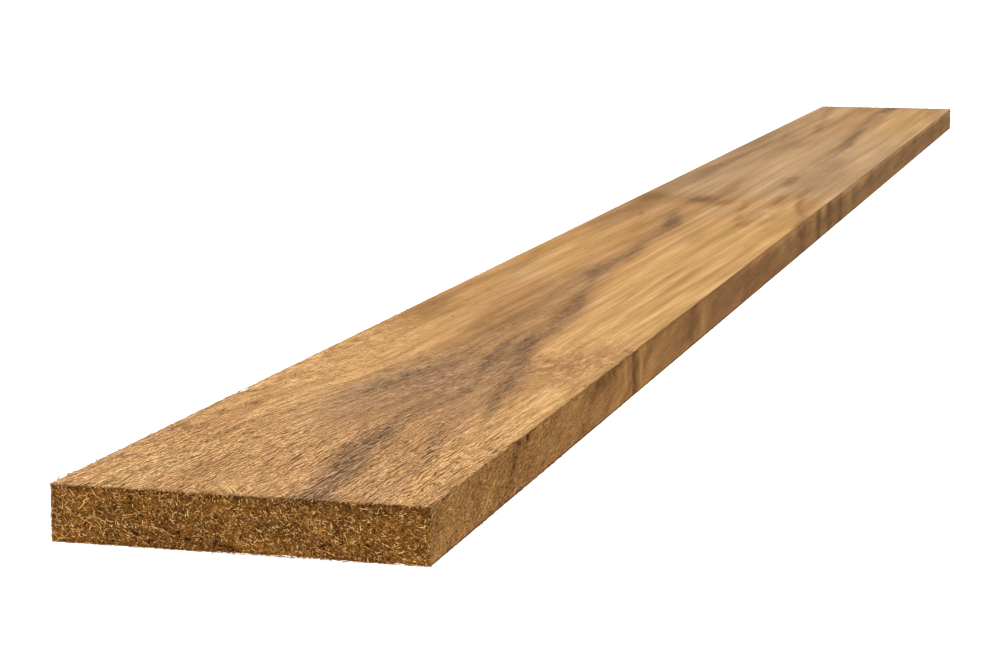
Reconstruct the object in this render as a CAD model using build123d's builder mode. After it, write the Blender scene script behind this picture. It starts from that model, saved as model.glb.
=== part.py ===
from build123d import *
import os

# One rough-sawn timber board, lying flat on its wide face.
# Frame: +X along the board's length, Y across its width, +Z up.
# The origin is at the centre of the underside.

# Driving dimensions, millimetres
length = 2100.0  # stock length, end cut to end cut
width = 145.0  # sawn width of the wide face
thickness = 22.0  # sawn thickness
arris = 0.5  # broken corner along each of the four long edges
end_arris = 0.4  # broken corner round each cross-cut end

# The board is one sawn piece, so it is one solid: its cross-section, with the
# four worn arrises, run out along the grain from end cut to end cut.
with BuildPart() as plank:
    with BuildSketch(Plane.YZ.offset(-length / 2)) as section:
        Rectangle(width, thickness, align=(Align.CENTER, Align.MIN))
        chamfer(section.vertices(), arris)
    extrude(amount=length)

    # Each end is cross-cut square, and the saw leaves its rim slightly broken.
    end_faces = plank.faces().filter_by(Axis.X)
    rims = [edge for face in end_faces for edge in face.edges()]
    chamfer(rims, end_arris)

plank.part.label = "plank"

os.makedirs("parts", exist_ok=True)
export_step(plank.part, "parts/plank.step")

box = plank.part.bounding_box()
print(
    f"plank: {box.size.X:.2f} x {box.size.Y:.2f} x {box.size.Z:.2f} mm, "
    f"volume {plank.part.volume / 1e9:.6f} m3, solids {len(plank.part.solids())}, faces {len(plank.part.faces())}"
)
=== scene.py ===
import math

import bpy
import numpy as np
from mathutils import Matrix, Vector
from mathutils.geometry import delaunay_2d_cdt


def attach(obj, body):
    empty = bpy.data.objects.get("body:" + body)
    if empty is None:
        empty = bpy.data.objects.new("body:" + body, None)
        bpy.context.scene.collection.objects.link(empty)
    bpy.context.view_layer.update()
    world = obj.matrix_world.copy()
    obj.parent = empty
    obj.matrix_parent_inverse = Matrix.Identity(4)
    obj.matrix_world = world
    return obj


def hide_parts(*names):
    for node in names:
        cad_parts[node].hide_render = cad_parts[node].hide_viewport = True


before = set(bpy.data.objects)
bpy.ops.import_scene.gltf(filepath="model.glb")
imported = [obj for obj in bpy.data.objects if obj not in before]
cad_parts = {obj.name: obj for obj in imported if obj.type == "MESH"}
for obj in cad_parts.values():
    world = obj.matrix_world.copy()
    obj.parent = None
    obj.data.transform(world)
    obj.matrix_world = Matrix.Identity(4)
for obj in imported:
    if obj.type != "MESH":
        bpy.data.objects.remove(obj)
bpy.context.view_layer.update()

# ---------------------------------------------------------------------------
# The board is worked out in millimetres: s runs along it from the near end,
# t across it from the long edge at +Y, z up from the underside.
# ---------------------------------------------------------------------------
L, W, T = 2100.0, 145.0, 22.0


def to_frame(s, t, z):
    return np.stack([s / 1000 - L / 2000, W / 2000 - t / 1000, z / 1000], -1)


# --- noise -------------------------------------------------------------------
def _hash(i, j, k, seed):
    with np.errstate(over="ignore"):
        h = (
            i.astype(np.uint32) * np.uint32(0x8DA6B343)
            ^ j.astype(np.uint32) * np.uint32(0xD8163841)
            ^ k.astype(np.uint32) * np.uint32(0xCB1AB31F)
            ^ np.uint32((seed * 0x9E3779B1) & 0xFFFFFFFF)
        )
        h ^= h >> np.uint32(15)
        h *= np.uint32(0x2C1B3C6D)
        h ^= h >> np.uint32(12)
        h *= np.uint32(0x297A2D39)
        h ^= h >> np.uint32(15)
    return h


def noise(x, y, z=0.0, seed=0):
    """Gradient noise, about -1 to 1."""
    x, y, z = np.broadcast_arrays(
        np.asarray(x, float), np.asarray(y, float), np.asarray(z, float)
    )
    xi, yi, zi = np.floor(x), np.floor(y), np.floor(z)
    fx, fy, fz = x - xi, y - yi, z - zi
    xi, yi, zi = xi.astype(np.int64), yi.astype(np.int64), zi.astype(np.int64)
    ux, uy, uz = (f * f * f * (f * (f * 6 - 15) + 10) for f in (fx, fy, fz))
    out = 0.0
    for a in (0, 1):
        wx = ux if a else 1 - ux
        for b in (0, 1):
            wy = uy if b else 1 - uy
            for c in (0, 1):
                wz = uz if c else 1 - uz
                h = _hash(xi + a, yi + b, zi + c, seed)
                gx = (h & np.uint32(1023)).astype(float) / 511.5 - 1
                gy = ((h >> np.uint32(10)) & np.uint32(1023)).astype(float) / 511.5 - 1
                gz = ((h >> np.uint32(20)) & np.uint32(1023)).astype(float) / 511.5 - 1
                out = out + wx * wy * wz * (
                    gx * (fx - a) + gy * (fy - b) + gz * (fz - c)
                )
    return np.clip(out * 1.5, -1.2, 1.2)


def ridged(x, y, z=0.0, seed=0):
    return 1 - 2 * np.abs(noise(x, y, z, seed))


def smooth(lo, hi, x):
    u = np.clip((x - lo) / (hi - lo), 0, 1)
    return u * u * (3 - 2 * u)


def curve(x, xp, fp):
    """A smooth line through points, which doesn't overshoot them."""
    xp, fp = np.asarray(xp, float), np.asarray(fp, float)
    h = np.diff(xp)
    d = np.diff(fp) / h
    m = np.zeros_like(xp)
    m[0], m[-1] = d[0], d[-1]
    w1, w2 = 2 * h[1:] + h[:-1], h[1:] + 2 * h[:-1]
    with np.errstate(divide="ignore", invalid="ignore"):
        mid = (w1 + w2) / (w1 / d[:-1] + w2 / d[1:])
    m[1:-1] = np.where(d[:-1] * d[1:] > 0, mid, 0)
    x = np.clip(x, xp[0], xp[-1])
    i = np.clip(np.searchsorted(xp, x, side="right") - 1, 0, len(xp) - 2)
    u = (x - xp[i]) / h[i]
    return (
        fp[i] * (1 + 2 * u) * (1 - u) ** 2
        + h[i] * m[i] * u * (1 - u) ** 2
        + fp[i + 1] * u * u * (3 - 2 * u)
        + h[i] * m[i + 1] * u * u * (u - 1)
    )


# --- how the grain runs ------------------------------------------------------
# Lines that the fibres follow on the top face, each with its own constant q.
GUIDES = [
    (22, [(0, 25), (150, 24), (300, 23), (420, 17), (500, 16), (620, 20), (760, 24), (880, 26), (960, 20), (1050, 13),
          (1180, 15), (1400, 20), (1700, 24), (2100, 26)]),
    (46, [(0, 50), (100, 48), (160, 46), (210, 53), (262, 60), (310, 64), (360, 64), (430, 58), (520, 52), (600, 51),
          (700, 50), (800, 47), (900, 42), (960, 36), (1020, 36), (1070, 38), (1150, 42), (1300, 42), (1600, 33), (1800, 38), (2100, 50)]),
    (68, [(0, 98), (50, 95), (105, 89), (150, 87), (200, 88), (250, 88), (300, 84), (350, 79), (420, 78), (500, 76),
          (560, 71), (640, 61), (700, 61), (760, 59), (820, 58), (880, 58), (950, 48), (1000, 49), (1060, 56), (1120, 58),
          (1200, 64), (1400, 70), (1600, 64), (1800, 58), (2100, 66)]),
    (80, [(0, 119), (60, 117), (110, 113), (160, 113), (200, 112), (250, 107), (300, 101), (350, 93), (400, 91),
          (470, 88), (520, 84), (570, 77), (640, 71), (720, 70), (800, 68), (860, 67), (920, 63), (960, 60), (1000, 65),
          (1050, 80), (1120, 91), (1200, 95), (1300, 103), (1400, 101), (1550, 95), (1700, 86), (1800, 80), (1900, 76),
          (2000, 73), (2100, 79)]),
    (102, [(0, 131), (120, 128), (220, 128), (290, 121), (345, 112), (390, 108), (460, 106), (600, 106), (700, 108),
           (800, 106), (880, 107), (920, 112), (955, 103), (990, 98), (1040, 106), (1090, 111), (1150, 116), (1250, 120),
           (1400, 118), (1600, 112), (1800, 104), (2100, 108)]),
]


def grain(s, t, z):
    """Where a point lies in the tree: along the trunk, and two directions across it."""
    deep = smooth(22, 2, z)
    ss = s + 60 * deep
    rows = [np.zeros_like(ss)] + [curve(ss, *zip(*pts)) for q, pts in GUIDES] + [np.full_like(ss, W)]
    value = [0.0] + [float(q) for q, pts in GUIDES] + [128.0]
    n = len(rows) - 1
    d = [(value[k + 1] - value[k]) / (rows[k + 1] - rows[k]) for k in range(n)]
    m = [d[0]] + [2 / (1 / d[k - 1] + 1 / d[k]) for k in range(1, n)] + [d[-1]]
    q = m[0] * t
    for k in range(n):
        h = rows[k + 1] - rows[k]
        u = np.clip((t - rows[k]) / h, 0, 1)
        v = (
            value[k] * (1 + 2 * u) * (1 - u) ** 2
            + h * m[k] * u * (1 - u) ** 2
            + value[k + 1] * u * u * (3 - 2 * u)
            + h * m[k + 1] * u * u * (u - 1)
        )
        q = np.where(t >= rows[k], v, q)
    q = np.where(t > W, value[-1] + m[-1] * (t - W), q)
    q = q + 0.7 * noise(s / 95, t / 26, z / 30, 4) + 0.28 * noise(s / 34, t / 8, z / 12, 5)
    r = z + 1.2 * noise(s / 300, t / 80, z / 50, 9)
    return s, q, r


def flow(s, t):
    """A coordinate across the board that stays the same along a pore: the fine fibres run straighter than the colours."""
    lean = 21 * smooth(110, 310, s) * (1 - smooth(45, 135, t)) + 0.025 * np.minimum(s, 1000)
    return t - lean + 1.1 * noise(s / 190, t / 42, 0.4, 6) + 0.30 * noise(s / 50, t / 12, 0.4, 7)


# --- marks in the wood ------------------------------------------------------
# Lengthwise marks go through points (s, t, half width, strength).
DARK = [
    [(-20, 100, 8, 0.70), (0, 98.5, 8, 0.72), (40, 95.5, 7.5, 0.67), (80, 91.5, 7, 0.70), (103, 89.5, 6.5, 0.78), (125, 88, 5.8, 0.80),
     (150, 88, 5.5, 0.70), (175, 88, 6, 0.54), (200, 90, 6, 0.38), (240, 90, 5, 0)],
    [(60, 119, 2, 0), (90, 117, 2.3, 0.35), (115, 112.5, 3, 0.5), (135, 109.5, 2.6, 0.55), (150, 107, 3, 0.3), (170, 104, 4, 0.2),
     (190, 103, 4, 0)],
    [(148, 123, 2, 0), (165, 120.5, 2.6, 0.5), (185, 118, 3, 0.62), (205, 115.5, 5, 0.74), (225, 112, 6, 0.76), (250, 109, 6, 0.72),
     (280, 106, 6, 0.68), (300, 101.5, 6, 0.70), (320, 98, 4.5, 0.72), (340, 94, 5.5, 0.88), (355, 91, 6, 0.98),
     (368, 90, 5.5, 0.82), (385, 91, 5, 0.6), (405, 93, 3.5, 0.72), (420, 89, 5, 0.55), (450, 87, 6, 0.58), (480, 84.5, 7, 0.62),
     (505, 81, 6.5, 0.68), (525, 78, 5, 0.5), (545, 75, 3, 0.5), (575, 73, 3, 0.5), (600, 68, 4.5, 0.55), (625, 62, 6, 0.78),
     (650, 62, 6, 0.66), (680, 65, 5.5, 0.58), (710, 67, 4, 0.68), (740, 66, 3.5, 0.66), (770, 62, 4, 0.42), (800, 61, 4.5, 0.38),
     (840, 63, 5, 0.40), (865, 62, 5, 0.62), (880, 60, 5.5, 0.92), (905, 57.5, 5.5, 1.0), (930, 53, 5, 0.85), (950, 49.5, 4, 0.58),
     (975, 47, 4, 0.25), (1000, 46, 4, 0)],
    [(600, 71, 2, 0), (615, 69.5, 2.2, 0.5), (650, 68.5, 2.2, 0.6), (675, 68, 2, 0.2), (690, 68, 2, 0)],
    [(165, 44, 2, 0), (190, 48, 3.5, 0.35), (210, 54, 4, 0.60), (228, 56, 4.8, 0.88), (245, 58, 4.8, 0.78), (262, 61, 4.6, 0.70),
     (280, 66, 4.6, 0.56), (300, 70, 4.2, 0.46), (320, 70, 3.6, 0.26), (345, 69, 3, 0)],
    [(255, 92, 3, 0), (285, 88, 3.5, 0.62), (300, 86, 4.6, 0.88), (320, 82.5, 4, 0.78), (340, 80.5, 4, 0.86), (358, 78.5, 3.5, 0.78),
     (380, 78, 2.5, 0.5), (400, 77, 2, 0.2), (420, 76, 2, 0)],
    [(1150, 96, 4, 0), (1180, 96, 5, 0.72), (1210, 95, 6, 0.95), (1235, 93.5, 5, 0.72), (1255, 93, 4, 0.3), (1275, 93, 3, 0)],
    [(1500, 97, 3, 0), (1560, 95, 4, 0.42), (1620, 92, 4, 0.48), (1680, 87, 4, 0.36), (1740, 84, 4, 0.36), (1820, 80, 3.5, 0.26),
     (1900, 76, 3.5, 0.28), (1990, 73, 4, 0.34), (2045, 78, 5, 0.75), (2075, 80, 5, 0.85), (2110, 80, 5, 0.85)],
]
PLUM = [
    [(120, 97, 6, 0), (150, 96, 12, 0.28), (180, 86, 24, 0.52), (220, 84, 29, 0.80), (260, 85, 26, 0.88), (300, 86, 19, 0.82),
     (340, 86, 12, 0.62), (380, 85, 9, 0.62), (420, 86, 8, 0.58), (470, 84, 8, 0.62), (520, 78, 8, 0.55), (560, 67, 12, 0.5),
     (600, 63, 10, 0.55), (650, 64, 8, 0.62), (700, 66, 6, 0.5), (760, 62, 6, 0.42), (820, 61, 7, 0.38), (880, 60, 8, 0.5),
     (950, 50, 7, 0.38), (1000, 48, 7, 0)],
    [(85, 68, 10, 0), (120, 66, 18, 0.30), (150, 64, 22, 0.55), (180, 66, 24, 0.70), (220, 68, 24, 0.85), (260, 69, 23, 0.85), (300, 69, 21, 0.72),
     (350, 69, 15, 0.5), (400, 68, 13, 0.48), (450, 70, 12, 0.5), (520, 68, 11, 0.5), (580, 64, 13, 0.62), (640, 60, 12, 0.6), (690, 62, 8, 0.4), (740, 62, 7, 0)],
    [(160, 112, 6, 0), (185, 110, 9, 0.5), (225, 108, 9, 0.62), (265, 106, 8, 0.5), (300, 103, 7, 0)],
    [(-20, 100, 10, 0.5), (50, 96, 10, 0.5), (100, 90, 9.5, 0.55), (150, 87, 8, 0.45), (200, 88, 10, 0.3), (240, 88, 10, 0)],
    [(-20, 123, 5, 0.3), (60, 121, 5, 0.38), (110, 116, 5, 0.42), (150, 111, 6, 0.40), (190, 106, 8, 0.5), (225, 105, 8, 0.45), (260, 104, 8, 0)],
    [(1080, 121, 6, 0), (1150, 115, 10, 0.45), (1220, 110, 14, 0.60), (1300, 107, 15, 0.60), (1400, 101, 14, 0.58),
     (1480, 96, 11, 0.56), (1550, 95, 8, 0.75), (1600, 92, 7, 0.85), (1660, 88, 7.5, 0.80), (1720, 85, 6.5, 0.6), (1800, 80, 8, 0.55),
     (1900, 77, 10, 0.55), (1980, 76, 11, 0.60), (2040, 77, 10, 0.85), (2070, 79, 9, 0.95), (2110, 79, 9, 0.95)],
    [(1230, 10, 4, 0), (1270, 10, 4.5, 0.45), (1320, 9, 4.5, 0.4), (1360, 8, 4, 0)],
    [(940, 30, 14, 0), (1000, 34, 20, 0.22), (1060, 36, 24, 0.34), (1130, 34, 22, 0.28), (1220, 34, 18, 0)],
    [(1300, 40, 12, 0), (1450, 44, 16, 0.20), (1600, 44, 16, 0.34), (1680, 40, 12, 0)],
    [(820, 8, 10, 0), (870, 10, 12, 0.40), (940, 12, 14, 0.50), (1000, 10, 14, 0.35), (1120, 10, 12, 0.30), (1220, 18, 14, 0.50), (1350, 18, 14, 0.42),
     (1500, 14, 12, 0.40), (1580, 14, 14, 0.50), (1700, 12, 14, 0.35), (1850, 14, 12, 0.3), (2000, 10, 10, 0)],
]
BROWN = [
    [(-3, 77, 0.8, 0.9), (5, 73.5, 0.9, 0.9), (12, 71, 0.8, 0.8), (19, 68.5, 0.6, 0)],
    [(1, 71, 0.7, 0), (8, 67, 0.9, 0.9), (15, 62, 0.8, 0.9), (23, 56, 0.6, 0)], [(-3, 65, 0.8, 0.8), (5, 61.5, 0.8, 0.8), (12, 58, 0.6, 0)],
    [(8, 72, 0.6, 0), (16, 67, 0.7, 0.7), (24, 63, 0.7, 0.6), (32, 60, 0.5, 0)], [(0, 8, 0.6, 0.6), (8, 5.6, 0.7, 0.7), (15, 3.4, 0.5, 0)],
    [(90, 28, 0.9, 0), (100, 28, 1.2, 0.7), (120, 27.5, 1.2, 0.8), (134, 27, 1.2, 0.75), (142, 27, 1, 0)],
    [(5, 48, 4, 0.3), (50, 47, 4, 0.2)],
    [(316, 67, 0.9, 0), (330, 66.5, 1.3, 0.85), (350, 66, 1.3, 0.8), (366, 66.5, 1.1, 0.4), (378, 66, 1, 0)],
    [(140, 36, 1.2, 0), (158, 39, 1.8, 0.45), (176, 43, 2, 0.5), (190, 47, 2, 0.3), (200, 49, 2, 0)],
    [(190, 127, 4, 0), (215, 130, 3, 0.3), (240, 131, 3.5, 0.35), (258, 131, 5, 0.6), (272, 130, 3, 0.25), (290, 128, 3, 0)],
    [(270, 112, 5, 0), (295, 119, 8, 0.12), (315, 125, 10, 0.14), (335, 127, 10, 0.12), (352, 126, 8, 0)],
    [(380, 52, 3, 0), (395, 52, 3, 0.38), (430, 53, 4, 0.4), (470, 54, 4, 0.3), (520, 52, 5, 0.3), (560, 50, 5, 0.38), (600, 52, 4, 0.25),
     (630, 55, 3, 0)],
    [(470, 40, 2.5, 0), (490, 38, 3, 0.35), (530, 40, 3, 0.45), (560, 38, 3, 0.2), (590, 36, 3, 0)],
    [(425, 18, 3, 0), (450, 13.5, 5, 0.7), (480, 12, 5, 0.8), (500, 14, 4.5, 0.55), (525, 14, 4, 0)],
    [(435, 25, 2.5, 0), (450, 25, 3, 0.5), (470, 25, 3, 0.4), (500, 26, 3, 0)],
    [(600, 18, 3, 0), (630, 16, 3, 0.4), (670, 13, 3, 0.5), (710, 8, 3, 0.4), (750, 5, 3, 0)],
    [(760, 93, 3, 0), (790, 92, 4, 0.42), (830, 90, 4, 0.42), (860, 89, 3, 0)],
    [(865, 108, 3, 0), (890, 107, 5, 0.6), (915, 108, 5, 0.55), (940, 112, 3, 0)],
    [(905, 99, 3, 0), (928, 99, 4.5, 0.62), (948, 96, 4, 0.6), (962, 94, 2.6, 0.6), (985, 92, 2.2, 0.6), (1012, 90, 2.2, 0.55),
     (1040, 86, 2, 0.5), (1065, 82, 1.6, 0)],
    [(880, 121, 3, 0), (905, 120, 4, 0.45), (940, 122, 4, 0.45), (970, 119, 3, 0)],
    [(870, 144, 2, 0), (905, 143.5, 3.5, 0.75), (945, 142.5, 3.5, 0.7), (985, 135, 2.8, 0.6), (1020, 127.5, 2.6, 0.65),
     (1060, 123.5, 2.8, 0.65), (1100, 118.5, 3.2, 0.6), (1150, 117, 3, 0.42), (1190, 115, 3, 0)],
    [(1020, 110, 2.5, 0), (1050, 108, 3.2, 0.5), (1085, 107, 3.2, 0.45), (1115, 105, 3, 0)],
    [(922, 31, 1.4, 0), (940, 28, 2, 0.85), (962, 23, 2, 0.8), (980, 19, 1.8, 0)],
    [(1130, 55, 3, 0), (1165, 55, 4, 0.42), (1210, 54, 4, 0.36), (1260, 52, 3, 0)],
    [(1100, 6, 4, 0), (1160, 6, 6, 0.5), (1240, 6, 6, 0.4), (1400, 5, 5, 0.35), (1500, 5, 6, 0.5), (1650, 5, 6, 0.55), (1750, 6, 6, 0.4),
     (1900, 8, 5, 0.2), (2000, 8, 5, 0)],
    [(1540, 36, 3, 0), (1590, 30, 4, 0.45), (1650, 24, 4, 0.5), (1720, 18, 4, 0.35), (1790, 14, 3, 0)],
    [(1680, 47, 3, 0), (1735, 44, 4, 0.5), (1785, 40, 4.5, 0.72), (1840, 35, 3.5, 0.5), (1930, 26, 4, 0.4), (2020, 18, 4, 0.4), (2110, 12, 4, 0.4)],
    [(1860, 140, 6, 0), (1940, 138, 9, 0.4), (2030, 132, 11, 0.5), (2110, 128, 12, 0.5)],
    [(1640, 100, 3, 0), (1720, 98, 4, 0.25), (1800, 94, 4, 0.3), (1900, 92, 4, 0.3), (2000, 92, 4, 0)],
]
RED = [
    [(90, 5, 4, 0), (108, 6, 5, 0.5), (130, 8, 5, 0.45), (150, 10, 3, 0.55), (168, 12, 3, 0)],
    [(92, 15, 4, 0), (112, 14.5, 6, 0.5), (140, 14, 6, 0.45), (172, 17, 5, 0.5), (188, 18, 4, 0)],
    [(0, 48, 4, 0.3), (25, 47, 5, 0.5), (50, 46, 4, 0.38), (80, 45, 3, 0)],
    [(262, 124, 5, 0), (280, 126, 8, 0.16), (305, 126, 9, 0.18), (330, 125, 8, 0.14), (350, 122, 6, 0)],
    [(255, 139, 2, 0), (270, 136, 3, 0.4), (290, 133, 3, 0.5), (310, 131, 2.5, 0.4), (330, 127, 2, 0)],
    [(835, 41, 5, 0), (872, 38, 5, 0.42), (905, 34, 5.5, 0.55), (940, 31, 5, 0.35), (965, 26, 4, 0)],
    [(940, 16, 5, 0), (970, 12, 9, 0.55), (1000, 12, 9, 0.55), (1030, 12, 10, 0.4), (1070, 8, 9, 0.4), (1110, 4, 5, 0)],
    [(540, 6, 3, 0), (560, 6, 4, 0.5), (585, 7, 4, 0.4), (610, 8, 3, 0)],
    [(860, 5, 4, 0), (900, 6, 5, 0.35), (960, 6, 5, 0.35), (1000, 6, 4, 0)],
    [(690, 54, 4, 0), (760, 50, 5, 0.3), (830, 45, 5, 0.35), (880, 42, 4, 0)],
    [(300, 137, 3, 0), (320, 135, 3, 0.5), (345, 131, 3, 0.45), (370, 130, 2, 0)],
    [(266, 118, 4, 0), (285, 119, 6, 0.34), (310, 121, 6.5, 0.42), (336, 120, 5, 0.30), (352, 118, 3, 0)],
]
# Patches: s, t, half lengths along and across, strength, slope of the long axis.
DARK_SPOTS = [
    (122, 14, 5, 1.6, 0.35, -0.2), (173, 17, 5, 2.0, 0.45, -0.3), (130, 33, 5, 1.8, 0.3, -0.2), (203, 4.5, 4.5, 3.0, 0.75, 0.35),
    (210, 8, 5, 1.4, 0.45, 0), (192, 15, 4, 2, 0.3, -0.3), (52, 7, 3, 1.6, 0.5, 0), (107, 6, 3, 1.4, 0.7, 0), (110, 10, 3.5, 1.3, 0.55, 0),
    (150, 10, 6, 1.2, 0.5, -0.25), (312, 110, 8, 2.4, 0.62, -0.1), (295, 122.5, 4, 1.3, 0.5, -0.1), (235, 66, 8, 2.5, 0.3, 0),
    (1052, 51, 24, 8.5, 0.85, -0.06), (1030, 69, 16, 3.5, 0.35, 0), (352, 144, 4, 1.6, 0.7, 0), (300, 8, 7, 1.5, 0.45, -0.15), (375, 8, 8, 1.5, 0.4, -0.15),
    (365, 89, 7, 5, 0.5, 0), (402, 93, 9, 2.6, 0.5, 0), (158, 30, 4, 1.6, 0.4, 0), (225, 93, 12, 3, 0.35, 0), (205, 97, 9, 1.8, 0.5, 0),
]
BROWN_SPOTS = [
    (122, 14, 6, 3, 0.8, -0.2), (173, 17, 6, 3.4, 0.9, -0.3), (130, 33, 6, 3, 0.7, -0.2), (192, 15, 5, 4, 0.7, -0.3),
    (1066, 10, 46, 24, 0.85, -0.10), (1034, 70, 24, 6.5, 0.6, 0), (258, 131, 7, 5, 0.5, 0), (1120, 8, 60, 9, 0.4, 0), (10, 64, 16, 9, 0.45, -0.5),
    (1052, 50, 34, 12, 0.6, 0), (1000, 22, 44, 10, 0.35, 0), (300, 60, 60, 8, 0.3, 0), (430, 64, 50, 9, 0.25, 0), (1720, 86, 60, 6, 0.4, 0),
    (150, 98, 30, 12, 0.25, 0), (700, 48, 70, 8, 0.2, 0), (620, 53, 40, 5, 0.35, 0), (385, 38, 40, 5, 0.22, 0), (460, 46, 30, 4, 0.25, 0),
    (2088, 105, 25, 40, 0.3, 0), (1560, 44, 60, 14, 0.3, 0), (480, 10, 50, 6, 0.5, 0), (500, 30, 40, 3, 0.4, 0), (655, 12, 50, 4, 0.35, 0), (560, 40, 50, 3, 0.35, 0), (770, 40, 60, 4, 0.25, 0), (1170, 52, 60, 5, 0.3, 0), (1300, 10, 90, 7, 0.4, 0), (1640, 30, 90, 5, 0.35, 0), (1850, 38, 80, 4, 0.4, 0), (1620, 56, 60, 5, 0.2, 0), (2060, 60, 40, 12, 0.3, 0), (1120, 60, 40, 5, 0.3, 0), (120, 20, 40, 10, 0.25, 0), (340, 22, 30, 3, 0.3, 0), (175, 35, 14, 3, 0.3, 0),
]
GOLD_SPOTS = [
    (9, 64, 15, 9, 1.0, -0.3), (40, 26, 40, 5, 0.6, 0), (12, 54, 14, 4, 0.7, 0), (165, 24, 26, 3, 0.8, -0.12), (172, 36, 24, 4, 0.7, 0),
    (215, 135, 60, 11, 0.9, 0), (262, 25, 80, 24, 0.42, 0), (60, 30, 55, 22, 0.3, 0), (430, 118, 60, 14, 0.9, 0), (520, 111, 60, 6, 1.0, 0),
    (610, 116, 50, 5, 0.9, 0), (1850, 108, 130, 12, 0.7, 0), (1810, 126, 110, 9, 0.80, 0), (380, 22, 70, 18, 0.22, 0), (700, 26, 110, 14, 0.3, 0),
    (2000, 112, 90, 12, 0.55, 0), (8, 30, 30, 26, 0.3, 0), (760, 136, 60, 6, 0.5, 0), (840, 138, 40, 5, 0.5, 0),
]
PALE_SPOTS = [
    (985, 72, 26, 11, 0.95, 0), (1115, 130, 40, 6, 0.8, 0), (612, 26, 30, 8, 0.7, 0), (820, 84, 60, 8, 0.35, 0), (35, 29, 22, 6, 0.45, 0),
    (1130, 38, 50, 10, 0.5, 0), (985, 106, 26, 7, 0.5, 0), (1380, 66, 90, 10, 0.5, 0), (640, 22, 60, 9, 0.3, 0), (920, 72, 50, 7, 0.45, 0),
    (1250, 78, 60, 7, 0.4, 0), (230, 91, 14, 2.6, 0.55, 0), (1860, 4, 260, 7, 0.6, 0), (320, 92, 22, 2.6, 0.5, -0.1), (270, 71, 12, 2.2, 0.4, 0.1), (365, 80.5, 8, 2, 0.7, 0),
]
# Lighter and darker places that keep their colour.
LIGHT_SPOTS = [
    (985, 110, 22, 6, 0.55, 0), (1010, 124, 40, 3.6, 0.45, -0.10), (520, 111, 40, 3.5, 0.40, 0), (612, 117, 40, 3, 0.35, 0), (430, 118, 30, 6, 0.3, 0),
    (215, 133, 30, 4, 0.35, 0), (612, 26, 22, 6, 0.28, 0), (1810, 126, 90, 6, 0.10, 0), (1420, 138, 70, 5, 0.25, 0), (1320, 74, 90, 9, 0.20, 0), (340, 21, 20, 3, 0.35, 0),
    (205, 14, 30, 6, 0.2, 0), (395, 29, 40, 5, 0.25, 0), (980, 83, 26, 3, 0.3, 0), (1030, 82, 26, 2.6, 0.25, -0.05), (80, 120.5, 6, 0.9, 0.6, 0),
    (238, 38, 30, 6, 0.2, 0), (150, 133, 30, 3, 0.25, 0), (30, 66, 16, 3, 0.25, -0.5), (100, 62, 18, 3, 0.15, 0), (1335, 70, 60, 6, 0.15, 0), (8, 66, 10, 5, 0.35, -0.6),
    (50, 18, 60, 22, 0.10, 0), (20, 118, 40, 24, 0.10, 0), (60, 116, 40, 16, 0.06, 0), (8, 11, 44, 13, 0.28, 0), (28, 38, 34, 12, 0.16, 0), (28, 60, 20, 6, 0.18, 0),
    (965, 45, 60, 12, 0.28, 0), (1005, 60, 50, 10, 0.34, 0),  (1930, 40, 130, 11, 0.27, 0), (560, 112, 64, 7, 0.34, 0), (700, 126, 80, 8, 0.30, 0), (560, 126, 60, 5, 0.26, 0),
    (1110, 126, 40, 6, 0.40, 0), (1200, 82, 190, 7, 0.36, 0), (1010, 66, 60, 8, 0.36, 0), (1030, 52, 60, 7, 0.34, 0), (345, 137, 26, 6, 0.32, 0), (345, 134, 25, 6, 0.24, 0), (1420, 141, 70, 5, 0.30, 0), (620, 126, 70, 12, 0.16, 0), (680, 122, 60, 12, 0.18, 0), (800, 138, 36, 8, 0.22, 0),
    (350, 128, 40, 10, 0.20, 0), (285, 132, 16, 4, 0.22, 0.05), (300, 140, 26, 4, 0.25, 0), (262, 112, 12, 3, 0.2, 0), (580, 112, 50, 6, 0.16, 0), (940, 66, 40, 12, 0.20, 0), (950, 112, 36, 7, 0.24, 0), (1100, 34, 50, 6, 0.16, 0), (1260, 104, 120, 22, 0.12, 0),
    (1450, 108, 120, 20, 0.12, 0), (760, 78, 50, 8, 0.14, 0), (320, 132, 24, 10, 0.16, 0),
    (300, 118, 14, 3, 0.35, 0), (322, 136, 12, 3, 0.35, -0.1), (285, 140, 16, 2.5, 0.3, 0), (340, 116, 10, 3, 0.3, 0), (270, 127, 10, 3, 0.25, 0),
]
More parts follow.
